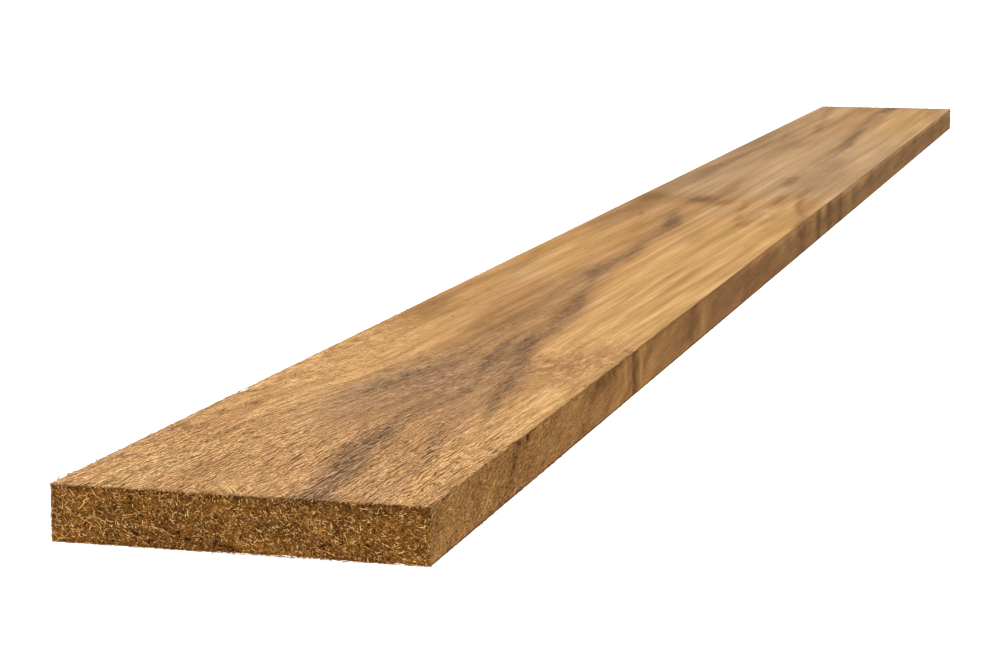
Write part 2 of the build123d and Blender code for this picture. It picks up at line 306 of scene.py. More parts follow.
SHADE_SPOTS = [
    (545, 104, 34, 2, 0.42, 0), (600, 121, 60, 1.8, 0.36, 0), (520, 134, 100, 2.2, 0.34, 0), (460, 129, 70, 1.6, 0.26, 0), (700, 124, 70, 1.8, 0.25, 0),
    (640, 110, 60, 1.6, 0.24, 0), (480, 112, 40, 1.4, 0.20, 0), (720, 133, 80, 1.8, 0.22, 0), (440, 121, 30, 1.4, 0.22, 0), (780, 104, 60, 2, 0.2, 0),
    (810, 117, 30, 2.6, 0.25, 0), (870, 128, 30, 4, 0.2, 0), (560, 98, 60, 1.6, 0.15, 0), (650, 96, 40, 2, 0.2, 0), (640, 141, 80, 2, 0.15, 0),
    (440, 18, 50, 9, 0.36, -0.05), (488, 5, 46, 8, 0.44, 0), (480, 24, 50, 8, 0.16, 0), (160, 76, 34, 8, 0.30, 0), (245, 74, 44, 8, 0.16, 0), (200, 95, 40, 8, 0.18, 0),
    (222, 112, 30, 7, 0.44, 0), (116, 126, 28, 6, 0.44, 0), (104, 137, 16, 5, 0.30, 0), (240, 140, 34, 6, 0.48, 0), (288, 141, 20, 5, 0.40, 0), (380, 76, 34, 7, 0.18, 0), (560, 52, 64, 9, 0.32, 0), (620, 84, 60, 6, 0.22, 0), (560, 97, 50, 5, 0.26, 0), (430, 23, 46, 7, 0.46, 0), (340, 98, 24, 6, 0.20, 0), (380, 84, 30, 6, 0.18, 0),
    (1030, 22, 54, 7, 0.30, 0), (1900, 23, 170, 7, 0.32, 0), (1720, 138, 70, 6, 0.26, 0), (2010, 97, 60, 7, 0.28, 0), (1010, 138, 34, 5, 0.30, 0), (780, 23, 50, 6, 0.34, 0), (180, 118, 50, 14, 0.18, 0), (190, 137, 46, 8, 0.18, 0), (240, 122, 30, 10, 0.16, 0), (170, 58, 46, 14, 0.12, 0),
    (770, 20, 40, 7, 0.22, 0), (870, 14, 60, 14, 0.22, 0), (570, 52, 50, 8, 0.14, 0), (600, 82, 60, 6, 0.10, 0), (840, 22, 40, 6, 0.2, 0), (1240, 22, 70, 8, 0.22, 0),
    (1020, 139, 24, 6, 0.22, 0), (1880, 22, 70, 7, 0.15, 0), (1700, 22, 60, 6, 0.1, 0), (380, 22, 30, 6, 0.16, 0), (440, 66, 60, 8, 0.10, 0),
    (30, 104, 40, 2, 0.25, 0), (160, 128, 22, 1.8, 0.35, 0), (175, 125, 18, 1.4, 0.3, 0), (120, 47, 60, 4, 0.16, 0), (75, 53, 30, 3, 0.16, 0),
    (95, 62, 22, 1.5, 0.3, 0), (120, 62, 12, 1.2, 0.25, 0), (150, 80, 30, 8, 0.12, 0), (40, 41, 18, 2.5, 0.2, 0), (125, 72, 30, 1.4, 0.25, 0),
    (90, 85, 20, 2, 0.25, 0), (1560, 54, 40, 6, 0.15, 0), (1300, 52, 70, 5, 0.15, 0), (1250, 128, 50, 5, 0.15, 0), (1550, 130, 60, 4, 0.18, 0),
]


def lay_streak(total, s, t, q, points, seed, ragged=1.0):
    """Raises total to a lengthwise mark."""
    p = np.array(points, float)
    at = np.flatnonzero((s > p[0, 0]) & (s < p[-1, 0]))
    if not len(at):
        return
    tc = curve(s[at], p[:, 0], p[:, 1])
    w, a = (np.interp(s[at], p[:, 0], p[:, i]) for i in (2, 3))
    close = np.abs(t[at] - tc) < 2.4 * w + 1.5
    at, tc, w, a = at[close], tc[close], w[close], a[close]
    s_, t_, q_ = s[at], t[at], q[at]
    off = t_ - tc + ragged * (
        w * 0.38 * noise(s_ / 60, t_ / 14, seed * 3.7, seed) + w * 0.30 * noise(s_ / 17, t_ / 4, seed * 1.9, seed + 1)
    )
    body = np.exp(-((np.abs(off) / np.maximum(w, 0.1)) ** 2.6))
    lines = 0.84 + 0.36 * noise(s_ / 34, q_ / 1.3, seed, seed + 2)
    total[at] = np.maximum(total[at], np.clip(a * body * lines, 0, 1.1))


def lay_spot(total, s, t, spot, seed):
    s0, t0, ls, lt, a, slope = spot
    at = np.flatnonzero((np.abs(s - s0) < 2.2 * ls) & (np.abs(t - t0 - slope * (s - s0)) < 2.2 * lt))
    if not len(at):
        return
    d = t[at] - t0 - slope * (s[at] - s0)
    r2 = ((s[at] - s0) / ls) ** 2 + (d / lt) ** 2
    r2 = r2 * (1 + 0.5 * noise(s[at] / (0.5 * ls), t[at] / (0.6 * lt), seed * 2.3, seed))
    total[at] = np.maximum(total[at], a * np.exp(-np.clip(r2, 0, 30)))


def marks(s, t, z, q):
    """The amount of each colour of wood at points of the wide faces, and how torn the surface is."""
    deep = smooth(22, 2, z)  # 0 on the top face, 1 on the underside
    # colour runs through the wood at a slant, so each mark leaves the underside elsewhere
    ts = t - deep * 19 + deep * 5 * noise(s / 240, 0.3, 0.7, 71)
    ss = s + deep * 55
    out = {k: np.zeros(len(s)) for k in ("dark", "plum", "red", "brown", "gold", "pale", "light", "shade")}
    for key, rows, seed in (("dark", DARK, 300), ("plum", PLUM, 400), ("red", RED, 500), ("brown", BROWN, 600)):
        for i, points in enumerate(rows):
            lay_streak(out[key], ss, ts, q, points, seed + 5 * i)
    for key, rows, seed in (("dark", DARK_SPOTS, 700), ("brown", BROWN_SPOTS, 730), ("gold", GOLD_SPOTS, 760),
                            ("pale", PALE_SPOTS, 790), ("light", LIGHT_SPOTS, 820), ("shade", SHADE_SPOTS, 850)):
        for i, spot in enumerate(rows):
            lay_spot(out[key], ss, ts, spot, seed + i)
    # bright gold past the dark streak, on the -Y side
    edge_t = np.interp(ss, [330, 400, 520, 600, 900], [104, 97, 90, 80, 84])
    bright = smooth(335, 400, ss) * (1 - smooth(840, 990, ss)) * smooth(-4, 8, ts - edge_t + 3 * noise(ss / 60, ts / 9, 0, 72))
    out["gold"] = np.maximum(out["gold"], 0.72 * bright)
    out["gold"] = np.maximum(out["gold"], 0.5 * smooth(1560, 1760, ss) * smooth(90, 104, ts))
    out["gold"] = np.maximum(out["gold"], 0.45 * smooth(520, 700, ss) * (1 - smooth(860, 940, ss)) * (1 - smooth(40, 56, ts)))
    # paler, greyer wood past the knots
    muted = 0.75 * smooth(1000, 1160, ss) * (1 - 0.75 * smooth(1580, 1800, ss) * smooth(30, 60, ts))
    out["pale"] = np.maximum(out["pale"], muted)
    torn = np.clip(1.05 - t / 40 + 0.35 * noise(s / 60, t / 20, z / 9, 67), 0, 1) * (1 - 0.6 * smooth(260, 700, s))
    torn = np.maximum(torn, np.exp(-(((s - 305) / 60) ** 2) - (((t - 122) / 20) ** 2)))
    torn = np.maximum(torn, np.clip(1 - s / 9, 0, 1))
    torn = np.maximum(torn, np.clip(1 - (L - s) / 9, 0, 1))
    torn = np.maximum(torn, 0.6 * smooth(0.25, 0.7, noise(s / 160, t / 26, z / 9, 69)))
    out["torn"] = torn * (1 - deep * 0.3)
    out["light"] = out["light"] - out["shade"]
    return out


# The long edge at -Y: cross bands (s at the top, s at the bottom, half width, strength) and patches (s, z, half sizes, strength).
EDGE_BANDS = [
    (147, 106, 5.0, 0.42), (262, 246, 14, 0.40), (352.0, 352.0, 8.5, 1.0), (339, 341, 4.0, 0.40), (298, 291, 13, 0.48),
    (508, 502, 12, 0.62), (586, 566, 14, 0.28), (690, 682, 12, 0.42),
    (770, 775, 26, 0.26), (918, 926, 22, 0.78), (1006, 1006, 10, 0.95), (1065, 1070, 17, 0.86), (1132, 1130, 13, 0.86), (1104, 1100, 10, 0.5),
    (1205, 1225, 12, 0.35), (1330, 1340, 22, 0.3), (1450, 1455, 14, 0.22), (1590, 1575, 16, 0.32), (1700, 1690, 20, 0.34), (1775, 1770, 10, 0.4),
    (1880, 1890, 22, 0.3), (1990, 1985, 16, 0.38),
]
# The patches just under the top arris (z about 19 to 20.5, s 210 to 340) are painted shadow below its broken-out chips;
# the rest are dark marks in the wood.
EDGE_DARK_MARKS_AND_SHADOWS = [
    (141, 20.3, 2.6, 2.4, 1.6), (137, 17.5, 2.4, 2.2, 0.9), (126, 20.0, 4.0, 2.2, 1.3), (120, 15.0, 5.4, 3.4, 1.0), (118, 12.5, 3.4, 2.0, 1.3), (112, 8, 5, 4, 0.6), (128, 15, 13, 7, 0.32), (272, 20, 9, 1.7, 0.95),
    (262, 16, 14, 3.6, 0.5), (283, 19, 6, 2.6, 0.8), (296, 19.5, 3, 2, 0.7), (308, 18.6, 5, 3.2, 0.95), (323, 19.5, 4, 2, 0.6), (338, 20, 3, 1.6, 0.6), (250, 20.4, 4, 1.4, 0.7),
    (228, 20.2, 4, 1.5, 0.6), (214, 20.4, 3, 1.2, 0.5), (300, 10, 16, 6, 0.22), (240, 13, 8, 5, 0.3), (352, 16, 10, 8, 0.6), (318, 20.5, 6, 1.4, 0.6), (505, 16, 14, 6, 0.4), (25, 14, 1.6, 0.9, 0.6), (40, 12, 3, 1, 0.5), (63, 12, 2, 1.4, 0.5), (76, 20.5, 2, 1.6, 0.55), (58, 14, 2.4, 2, 0.35),
    (96, 5, 2.6, 0.8, 0.6), (186, 18.5, 3.4, 1.2, 0.5), (166, 19, 4, 1.5, 0.35), (345, 8, 8, 4, 0.5), (352, 17, 7, 6, 0.5), (505, 13, 8, 5, 0.4),
    (572, 12, 7, 5, 0.3), (1120, 6, 14, 4, 0.4), (335, 4, 9, 2.5, 0.35), (300, 6, 9, 3, 0.3), (1335, 9, 16, 5, 0.25), (240, 15, 12, 5, 0.25),
    (60, 6, 3, 1.2, 0.3), (90, 17, 6, 2.0, 0.25), (35, 6, 10, 2, 0.15), (198, 3, 6, 2, 0.3),
]
EDGE_PALE = [
    (60, 14.5, 4, 1.4, 0.6), (175, 11, 16, 4, 0.35), (20, 8, 8, 2, 0.25), (232, 17, 9, 2.5, 0.45), (205, 14, 14, 3, 0.25), (289, 20.6, 2.4, 1.6, 0.8),
    (312, 17, 5, 3, 0.2), (324, 20, 4, 2, 0.35), (367, 10, 3.5, 8, 0.60), (332, 13, 3.0, 6, 0.45), (347, 4, 3, 3.5, 0.6), (375, 20, 5, 3, 0.25), (392, 8, 9, 3, 0.35), (538, 10, 9, 9, 0.4),
    (545, 14, 14, 8, 0.2), (360, 3.5, 4, 2, 0.3), (982, 14, 12, 5, 0.3), (1035, 18, 10, 4, 0.4), (880, 18, 12, 4, 0.3),
    (1185, 12, 16, 8, 0.25), (350, 5, 4, 3, 0.3), (270, 8, 20, 4, 0.2), (1270, 18, 25, 4, 0.3), (1000, 3, 10, 2, 0.3), (830, 15, 20, 6, 0.25),
]


def bands(s, z, seed):
    """Dark (above 0) and pale (below 0) cross bands on a long edge; seed 0 is the edge at -Y."""
    if seed == 0:
        lines, dark, pale = EDGE_BANDS, EDGE_DARK_MARKS_AND_SHADOWS, EDGE_PALE
    else:
        rng = np.random.default_rng(seed)
        at = np.sort(rng.uniform(30, L - 30, 26))
        lines = [(a, a + rng.normal(0, 12), rng.uniform(4, 20), rng.uniform(0.2, 0.85)) for a in at]
        dark = [(rng.uniform(0, L), rng.uniform(2, 20), rng.uniform(2, 12), rng.uniform(1, 4), rng.uniform(0.2, 0.8)) for _ in range(70)]
        pale = [(rng.uniform(0, L), rng.uniform(2, 20), rng.uniform(4, 18), rng.uniform(1.5, 6), rng.uniform(0.2, 0.6)) for _ in range(50)]
    out = np.zeros(len(s))
    wob = 3.2 * noise(s / 30, z / 7, 0.5, 81 + seed) + 1.6 * noise(s / 7, z / 2.5, 0.5, 82 + seed)
    edge = 0.8 + 0.35 * noise(s / 5, z / 3, 0.5, 83 + seed)
    broken = np.clip(0.72 + 0.75 * noise(s / 17, z / 6.5, 0.5, 84 + seed) + 0.35 * noise(s / 8, z / 3, 0.5, 85 + seed), 0.15, 1.15)
    for top, bottom, w, a in lines:
        c = bottom + (top - bottom) * z / T
        mask = edge if a > 0.8 else edge * broken
        out = np.maximum(out, a * mask * np.exp(-np.abs((s - c + wob * min(1, w / 8)) / w) ** 2.4))
    for s0, z0, ls, lz, a in dark:
        r2 = ((s - s0 + 0.3 * wob) / ls) ** 2 + ((z - z0) / lz) ** 2
        out = np.maximum(out, a * np.exp(-np.clip(r2 * (1 + 0.6 * (edge - 0.8)), 0, 30)))
    low = np.zeros(len(s))
    for s0, z0, ls, lz, a in pale:
        r2 = ((s - s0 + 0.5 * wob) / ls) ** 2 + ((z - z0) / lz) ** 2
        low = np.maximum(low, a * np.exp(-np.clip(r2, 0, 30)))
    return out - low * (1 - np.clip(out, 0, 1))


# --- relief, in millimetres along the outward normal ---------------------------
# Chips and torn pits of the top face: s, t, half lengths, depth.
PITS = [(203, 3.5, 4.5, 3.6, 0.9), (209, 8, 4, 1.8, 0.4), (173, 17, 5, 2.2, 0.4), (122, 14, 4, 2.0, 0.35), (192, 14, 3.5, 2.6, 0.35),
        (130, 33, 4, 2, 0.3), (107, 6, 3, 1.4, 0.35), (6, 67, 7, 9, 0.45), (18, 57, 6, 4, 0.2), (312, 110, 7, 2, 0.25), (352, 144, 5, 3, 0.5)]


def relief_wide(s, t, z, g, m):
    """Sawn relief of the two wide faces. g is the grain place, m the marks."""
    gs, gq, gr = g
    torn = m["torn"]
    f = flow(s, t)
    # the saw left the near part of the top roughest
    fall = np.where(z > T / 2, 1 - 0.5 * smooth(60, 230, s) - 0.25 * smooth(260, 700, s), 0.7)
    h = 0.10 * noise(s / 330, t / 70, z / 9, 101)
    h = h + 0.04 * ridged(gs / 70, gq / 3.4, gr / 4, 102)
    h = h + fall * (0.06 * noise(s / 26, f / 1.5, gr / 2, 103) + 0.05 * noise(s / 11, f / 1.05, gr / 1.5, 104))
    h = h - fall * 0.12 * smooth(0.34, 0.62, noise(s / 18, f / 1.3, gr / 2, 105))
    h = h - 0.06 * np.clip(m["dark"], 0, 1)
    rough = 0.13 * noise(s / 4.5, t / 1.8, z / 3, 106) + 0.12 * noise(s / 10, t / 3.3, z / 3, 107)
    h = h + torn * fall * rough - 0.10 * torn
    # soft lumps where the grain turns
    turn = np.exp(-(((s - 308) / 48) ** 2) - (((t - 126) / 20) ** 2)) * (z > T / 2)
    h = h + turn * (0.78 * noise(s / 13, t / 4.6, 0.5, 109) + 0.34 * noise(s / 6, t / 2.6, 0.5, 110))
    # the -Y arris is broken out between the first band and the groove
    bite = arris_chips(s)
    h = h - bite * np.exp(-(((W - t) / (1.1 + 1.3 * bite)) ** 4)) * (z > T / 2)
    for s0, t0, ls, lt, d in PITS:
        r2 = ((s - s0) / ls) ** 2 + ((t - t0) / lt) ** 2
        h = h - d * np.exp(-np.clip(r2 * (1 + 0.4 * noise(s / 3, t / 2, 0, 108)), 0, 30)) * (z > T / 2)
    return h


def arris_chips(s):
    """How deep the top arris at -Y is broken out, at s."""
    broken = smooth(200, 236, s) * (1 - smooth(350, 366, s))
    deep = 0.45 + 1.25 * noise(s / 12, 3.3, 0, 165) + 0.6 * noise(s / 4.5, 7.3, 0, 166)
    small = 0.5 * np.clip(noise(s / 9, 5.3, 0, 167) - 0.25, 0, 1)
    return np.clip(broken * deep, 0, 1.7) + small * (1 - broken) + 1.0 * np.exp(-(((s - 352) / 6) ** 2)) + 0.8 * np.exp(-(((s - 141) / 3.5) ** 2))


def relief_edge(s, z, seed, band):
    """Sawn relief of the two long edges."""
    h = 0.13 * noise(s / 120, z / 30, 0, 121 + seed)
    fine = 0.08 * (1 - 0.65 * smooth(140, 340, s))
    h = h + fine * (noise(s / 5.5, z / 1.9, 0, 122 + seed) + noise(s / 2.8, z / 1.3, 0, 123 + seed))
    h = h + 0.08 * noise(s / 16, z / 6, 0, 124 + seed)
    if seed == 0:
        h = h - 0.8 * arris_chips(s + 2.0) * np.exp(-(((T - z) / 2.4) ** 2))
    return h - 0.32 * np.clip(band, 0, 1) - 0.10 * np.clip(band, -1, 0) - 0.10


# Saw scores and hollows of the near end: t and z at each end of a line, half width, depth.
SCORES = [(27.5, 21.5, 37.5, 13.5, 0.45, 0.8), (32.5, 5.5, 41, 0.8, 0.45, 0.9), (24.5, 14.5, 30.5, 9.0, 0.5, 0.7), (41.5, 9.5, 57, 2.2, 1.3, 0.6),
          (6.5, 13.0, 9.8, 10.4, 0.35, 0.6), (12, 8.8, 18.5, 3.8, 0.4, 0.7), (117, 17, 124.5, 11.5, 0.5, 0.7), (109, 12.5, 112, 7, 0.8, 0.6),
          (128, 17.0, 140, 8.5, 0.4, 0.5), (84, 7, 93, 2.0, 0.5, 0.5), (60, 16, 66, 11.5, 0.5, 0.4), (99, 8, 106, 3.0, 0.4, 0.45),
          (72, 21, 79, 16, 0.5, 0.45), (47, 17, 53, 12.5, 0.4, 0.4), (121, 6.5, 130, 1.5, 0.7, 0.5), (64, 3.5, 74, 0.8, 0.9, 0.5),
          (133, 21, 143, 14, 0.35, 0.45), (88, 19, 96, 13.5, 0.35, 0.4)]


def scores(t, z, seed):
    """How deep the saw scores are."""
    out = np.zeros(len(t))
    for i, (t0, z0, t1, z1, w, d) in enumerate(SCORES):
        if seed:
            # other scores at the far end
            t0, t1, z0, z1 = W - t0 + 3 * (i % 3), W - t1 + 3 * (i % 3), T - z1, T - z0
        a, b = t1 - t0, z1 - z0
        f = np.clip(((t - t0) * a + (z - z0) * b) / (a * a + b * b), 0, 1)
        wave = 0.35 * noise(t / 2.2, z / 2.2, 0, 148 + seed)
        away = np.hypot(t - t0 - f * a, z - z0 - f * b) + wave
        out = out + d * np.exp(-((away / w) ** 2)) * (0.75 + 0.4 * noise(t / 1.5, z / 1.5, 0, 145 + seed))
    return out


def relief_end(t, z, seed):
    """Torn relief of the end grain: short diagonal saw scores and frayed pits."""
    u = t * math.cos(0.66) - z * math.sin(0.66)
    v = t * math.sin(0.66) + z * math.cos(0.66)
    h = 0.24 * ridged(u / 5.5, v / 1.6, 0, 141 + seed) + 0.32 * noise(t / 1.25, z / 1.25, 0, 142 + seed)
    h = h + 0.36 * noise(t / 2.9, z / 2.4, 0, 143 + seed) + 0.14 * noise(t / 14, z / 6, 0, 144 + seed)
    return h - 0.40 - scores(t, z, seed)


def nibble(a, seed, scale=1.0):
    """How far an arris is worn back, in millimetres, at distance a along it."""
    n = 0.16 + 0.13 * noise(a / 7, seed, 0, 161 + seed) + 0.20 * np.clip(noise(a / 2.3, seed, 0, 162 + seed), 0, 1)
    n = n + 0.7 * smooth(0.45, 0.85, noise(a / 16, seed, 0, 163 + seed)) * (0.6 + 0.4 * noise(a / 3, seed, 0, 164 + seed))
    if seed == 10:
        # the top arris at -Y is broken out between the first band and the groove
        n = n + 0.3 * arris_chips(a)
    if seed == 4:
        n = n + 0.6 * np.exp(-(((a - 203) / 6) ** 2))
    return np.clip(n, 0.02, 2) * scale


# ---------------------------------------------------------------------------
# The board's mesh: rings of points round the section, one for each station along it.
# ---------------------------------------------------------------------------
ARRIS = 0.45


def section(n_top, n_side, n_bottom):
    """Points round the section: (t, z, face). The faces are 0 top, 1 -Y edge, 2 underside, 3 +Y edge."""
    rows = []
    for i in range(n_top + 1):
        # closer together towards the -Y arris, which is chipped
        u = i / n_top
        rows.append((ARRIS + (W - 2 * ARRIS) * (1.05 * u - 0.05 * u ** 12), T, 0))
    for i in range(n_side + 1):
        rows.append((W, T - ARRIS - (T - 2 * ARRIS) * i / n_side, 1))
    for i in range(n_bottom + 1):
        rows.append((W - ARRIS - (W - 2 * ARRIS) * i / n_bottom, 0, 2))
    for i in range(n_side + 1):
        rows.append((0, ARRIS + (T - 2 * ARRIS) * i / n_side, 3))
    return np.array(rows, float)


def surface(s, t, z, face):
    """Moves points of the plain box onto the sawn surface. Gives the new t and z, the relief, and the grain, marks and bands there."""
    g = grain(s, t, z)
    m = marks(s, t, z, g[1])
    band = np.where(face == 1, bands(s, z, 0), np.where(face == 3, bands(s, z, 5), 0))
    h = np.where((face == 0) | (face == 2), relief_wide(s, t, z, g, m), 0)
    h = np.where(face == 1, relief_edge(s, z, 0, band), h)
    h = np.where(face == 3, relief_edge(s, z, 7, band), h)
    h = np.clip(h, -1.9, 0.34)
    nt = np.where(face == 1, 1.0, np.where(face == 3, -1.0, 0.0))
    nz = np.where(face == 0, 1.0, np.where(face == 2, -1.0, 0.0))
    # the arrises
    dt = np.minimum(t, W - t)
    dz = np.minimum(z, T - z)
    corner = (t > W / 2) * 2 + (z > T / 2)
    wear = np.zeros_like(s)
    for k in range(4):
        wear = np.where(corner == k, nibble(s, 3 * k + 1, (1.0, 1.15, 0.9, 1.2)[k]), wear)
    close = np.exp(-((np.maximum(dt, dz) / 0.9) ** 2))
    inward_t = np.where(t > W / 2, -1.0, 1.0)
    inward_z = np.where(z > T / 2, -1.0, 1.0)
    # the faces are broken back where they meet the ends
    tip = np.minimum(s, L - s)
    a = np.where((face == 0) | (face == 2), t, 190 + z) + 300 * (s > L / 2)
    chips = 0.10 + 0.42 * np.clip(noise(a / 3.1, face * 2.3, 0.4, 185), -0.2, 1) + 0.34 * np.clip(noise(a / 1.1, face * 2.3, 0.4, 186), -0.3, 1)
    chips = chips + 0.35 * smooth(60, 72, t) * (1 - smooth(108, 118, t)) * ((face == 2) & (s < L / 2))
    chips = np.clip(chips, 0, 0.75) * np.exp(-((tip / 2.0) ** 2))
    h = h - chips
    st = t + nt * h * (1 - 0.7 * close) + inward_t * wear * close * 0.8
    sz = z + nz * h * (1 - 0.7 * close) + inward_z * wear * close * 0.8
    return st, sz, h, g, m, band


def stations(a, b, step):
    n = max(1, int(round((b - a) / step)))
    return list(np.linspace(a, b, n + 1))


FULL = (200, 18, 60)
HALF = (100, 9, 30)
near_s = [0.4, 0.7, 1.1, 1.6, 2.3, 3.2, 4.3] + stations(5.6, 230, 1.9)
mid_s = stations(230, 370, 2.2) + stations(370, 640, 3.1)[1:]
far_s = stations(640, L - 30, 9.8)
end_s = [L - 26, L - 22, L - 18, L - 15, L - 12, L - 9.5, L - 7.5, L - 5.8, L - 4.3, L - 3.2, L - 2.3, L - 1.6, L - 1.1, L - 0.7, L - 0.4]


def step_faces(r0, k0, r1, k1):
    """Joins a ring to one with half the points on each face."""
    out = []
    n0, n1 = (k0[0], k0[1], k0[2], k0[1]), (k1[0], k1[1], k1[2], k1[1])
    a0 = a1 = 0
    for f in range(4):
        for i in range(n1[f]):
            c0, c1 = r1[a1 + i], r1[a1 + i + 1]
            fine = [r0[a0 + 2 * i + q] for q in range(3)]
            out += [(fine[0], fine[1], c0), (fine[1], fine[2], c1), (fine[1], c1, c0)]
        # across the arris to the next face
        e0, e1 = r0[a0 + n0[f]], r1[a1 + n1[f]]
        a0 += n0[f] + 1
        a1 += n1[f] + 1
        g0, g1 = r0[a0 % len(r0)], r1[a1 % len(r1)]
        out += [(e0, g0, g1), (e0, g1, e1)]
    return out


def cap_points(sec, seed, step_t, step_z):
    """Points of an end face: the rim, pulled in by the end arris, and a jittered grid inside it."""
    rng = np.random.default_rng(seed)
    inset = 0.4
    rim_t = W / 2 + (sec[:, 0] - W / 2) * (W / 2 - inset) / (W / 2)
    rim_z = T / 2 + (sec[:, 1] - T / 2) * (T / 2 - inset) / (T / 2)
    gt = np.arange(1.1, W - 1.0, step_t)
    gz = np.arange(1.1, T - 1.0, step_z)
    tt, zz = np.meshgrid(gt, gz)
    tt = tt + (np.arange(len(gz)) % 2)[:, None] * step_t / 2
    tt, zz = tt.ravel(), zz.ravel()
    tt = tt + rng.uniform(-0.25, 0.25, tt.shape) * step_t
    zz = zz + rng.uniform(-0.25, 0.25, zz.shape) * step_z
    keep = (tt < W - 1.0) & (tt > 1.0)
    return rim_t, rim_z, tt[keep], zz[keep]


def build_plank():
    plan = [(x, FULL) for x in near_s] + [(x, HALF) for x in mid_s[1:] + far_s[1:] + end_s]
    secs = {k: section(*k) for k in (FULL, HALF)}
    rings, first = [], 0
    for x, k in plan:
        rings.append((np.arange(first, first + len(secs[k])), k))
        first += len(secs[k])
    s = np.concatenate([np.full(len(secs[k]), x) for x, k in plan])
    t, z, face = (np.concatenate([secs[k][:, i] for x, k in plan]) for i in range(3))
    polys = []
    for (r0, k0), (r1, k1) in zip(rings[:-1], rings[1:]):
        if k0 == k1:
            j = np.arange(len(r0))
            k = (j + 1) % len(r0)
            polys.extend(map(tuple, np.stack([r0[j], r0[k], r1[k], r1[j]], 1)))
        else:
            polys.extend(step_faces(r0, k0, r1, k1))
    st, sz, h, g, m, band = surface(s, t, z, face)
    # the first and last rings waver along the board, so that the end arrises look torn
    along = s.copy()
    a = np.where((face == 0) | (face == 2), t, 200 + z)
    for lo, sign, seed in ((0, 1, 0), (L, -1, 50)):
        w = np.exp(-((np.abs(s - lo) / 1.2) ** 2))
        ragged = 0.55 * noise(a / 1.2, face * 3.1, 0, 181 + seed) + 0.60 * noise(a / 3.6, face * 3.1, 0, 182 + seed)
        along = along + sign * w * np.clip(ragged, -0.3, 1.1)
    S, TT, ZZ = [along], [st], [sz]
    rows = [(s, t, z, face, h)]
    count = len(s)
    for which, (ring, k) in ((0, rings[0]), (1, rings[-1])):
        sec = secs[k]
        rim_t, rim_z, it, iz = cap_points(sec, 7 + which, 0.63 if which == 0 else 0.95, 0.60 if which == 0 else 0.9)
        # the rim follows the ring that it joins
        rt, rz = rim_t + st[ring] - t[ring], rim_z + sz[ring] - z[ring]
        n = len(ring)
        part = face[ring]
        high, low = part == 0, part == 2
        right, left = part == 1, part == 3
        top_z = np.interp(it, rt[high], rz[high])
        low_z = np.interp(it, rt[low][::-1], rz[low][::-1])
        right_t = np.interp(iz, rz[right][::-1], rt[right][::-1])
        left_t = np.interp(iz, rz[left], rt[left])
        ok = (iz < top_z - 0.35) & (iz > low_z + 0.35) & (it < right_t - 0.35) & (it > left_t + 0.35)
        it, iz = it[ok], iz[ok]
        pts = np.concatenate([np.stack([rt, rz], 1), np.stack([it, iz], 1)])
        out = delaunay_2d_cdt([Vector(p) for p in pts], [(i, (i + 1) % n) for i in range(n)], [], 1, 1e-5)
        verts, tris, orig = out[0], out[2], out[3]
        pt = np.array([(v.x, v.y) for v in verts])
        h = relief_end(pt[:, 0], pt[:, 1], 30 * which)
        rim = np.exp(-(np.minimum(np.minimum(pt[:, 0], W - pt[:, 0]), np.minimum(pt[:, 1], T - pt[:, 1])) / 0.7) ** 2)
        h = np.clip(h * (1 - 0.7 * rim) - 0.12 * rim, -1.5, 0.25)
        base, sgn = (0.0, -1) if which == 0 else (L, 1)
        S.append(base + sgn * h)
        TT.append(pt[:, 0])
        ZZ.append(pt[:, 1])
        rows.append((np.full(len(pt), base), pt[:, 0], pt[:, 1], np.full(len(pt), 4.0 + which), h))
        # which new vertex stands at each rim place
        at = np.full(n, -1)
        for new, o in enumerate(orig):
            if o and 0 <= o[0] < n:
                at[o[0]] = new
        for f in tris:
            f = [count + i for i in f]
            polys.append(tuple(f) if which == 0 else tuple(f[::-1]))
        for i in range(n):
            j = (i + 1) % n
            a0, a1, b0, b1 = count + at[i], count + at[j], ring[i], ring[j]
            polys.append((a0, a1, b1, b0) if which == 0 else (b0, b1, a1, a0))
        count += len(pt)
    co = to_frame(np.concatenate(S), np.concatenate(TT), np.concatenate(ZZ))
    return co, polys, [np.concatenate([r[i] for r in rows]) for i in range(5)]


def attributes(s, t, z, face, h):
    """What the material needs to know at a point: (name, three columns)."""
    z = np.clip(z, 0, T)
    t = np.clip(t, 0, W)
    g = grain(s, t, z)
    m = marks(s, t, z, g[1])
    side = ((face == 1) | (face == 3)).astype(float)
    end = (face >= 4).astype(float)
    band = np.zeros(len(s))
    for f, seed in ((1, 0), (3, 5)):
        at = face == f
        if at.any():
            band[at] = bands(s[at], z[at], seed)
    return [
        ("grain", np.stack(g, -1)),
        ("marks_a", np.stack([m["dark"], m["plum"], m["red"]], -1)),
        ("marks_b", np.stack([m["gold"], m["pale"], m["torn"]], -1)),
        ("marks_c", np.stack([m["brown"], m["light"], h], -1)),
        ("where", np.stack([side, end, band], -1)),
        ("flow", np.stack([s, flow(s, t), z], -1)),
    ]


def set_attribute(me, name, values):
    a = me.attributes.new(name, "FLOAT_VECTOR", "POINT")
    a.data.foreach_set("vector", np.ascontiguousarray(values, np.float32).ravel())


def new_object(name, co, sizes, flat):
    me = bpy.data.meshes.new(name)
    me.vertices.add(len(co))
    me.vertices.foreach_set("co", np.ascontiguousarray(co, np.float32).ravel())
    me.loops.add(len(flat))
    me.loops.foreach_set("vertex_index", flat.astype(np.int32))
    me.polygons.add(len(sizes))
    me.polygons.foreach_set("loop_start", np.concatenate([[0], np.cumsum(sizes)[:-1]]).astype(np.int32))
    me.polygons.foreach_set("loop_total", sizes.astype(np.int32))
    me.update(calc_edges=True)
    me.validate()
    ob = bpy.data.objects.new(name, me)
    bpy.context.scene.collection.objects.link(ob)
    print("PIECE", name, "triangles", int((sizes - 2).sum()))
    return ob


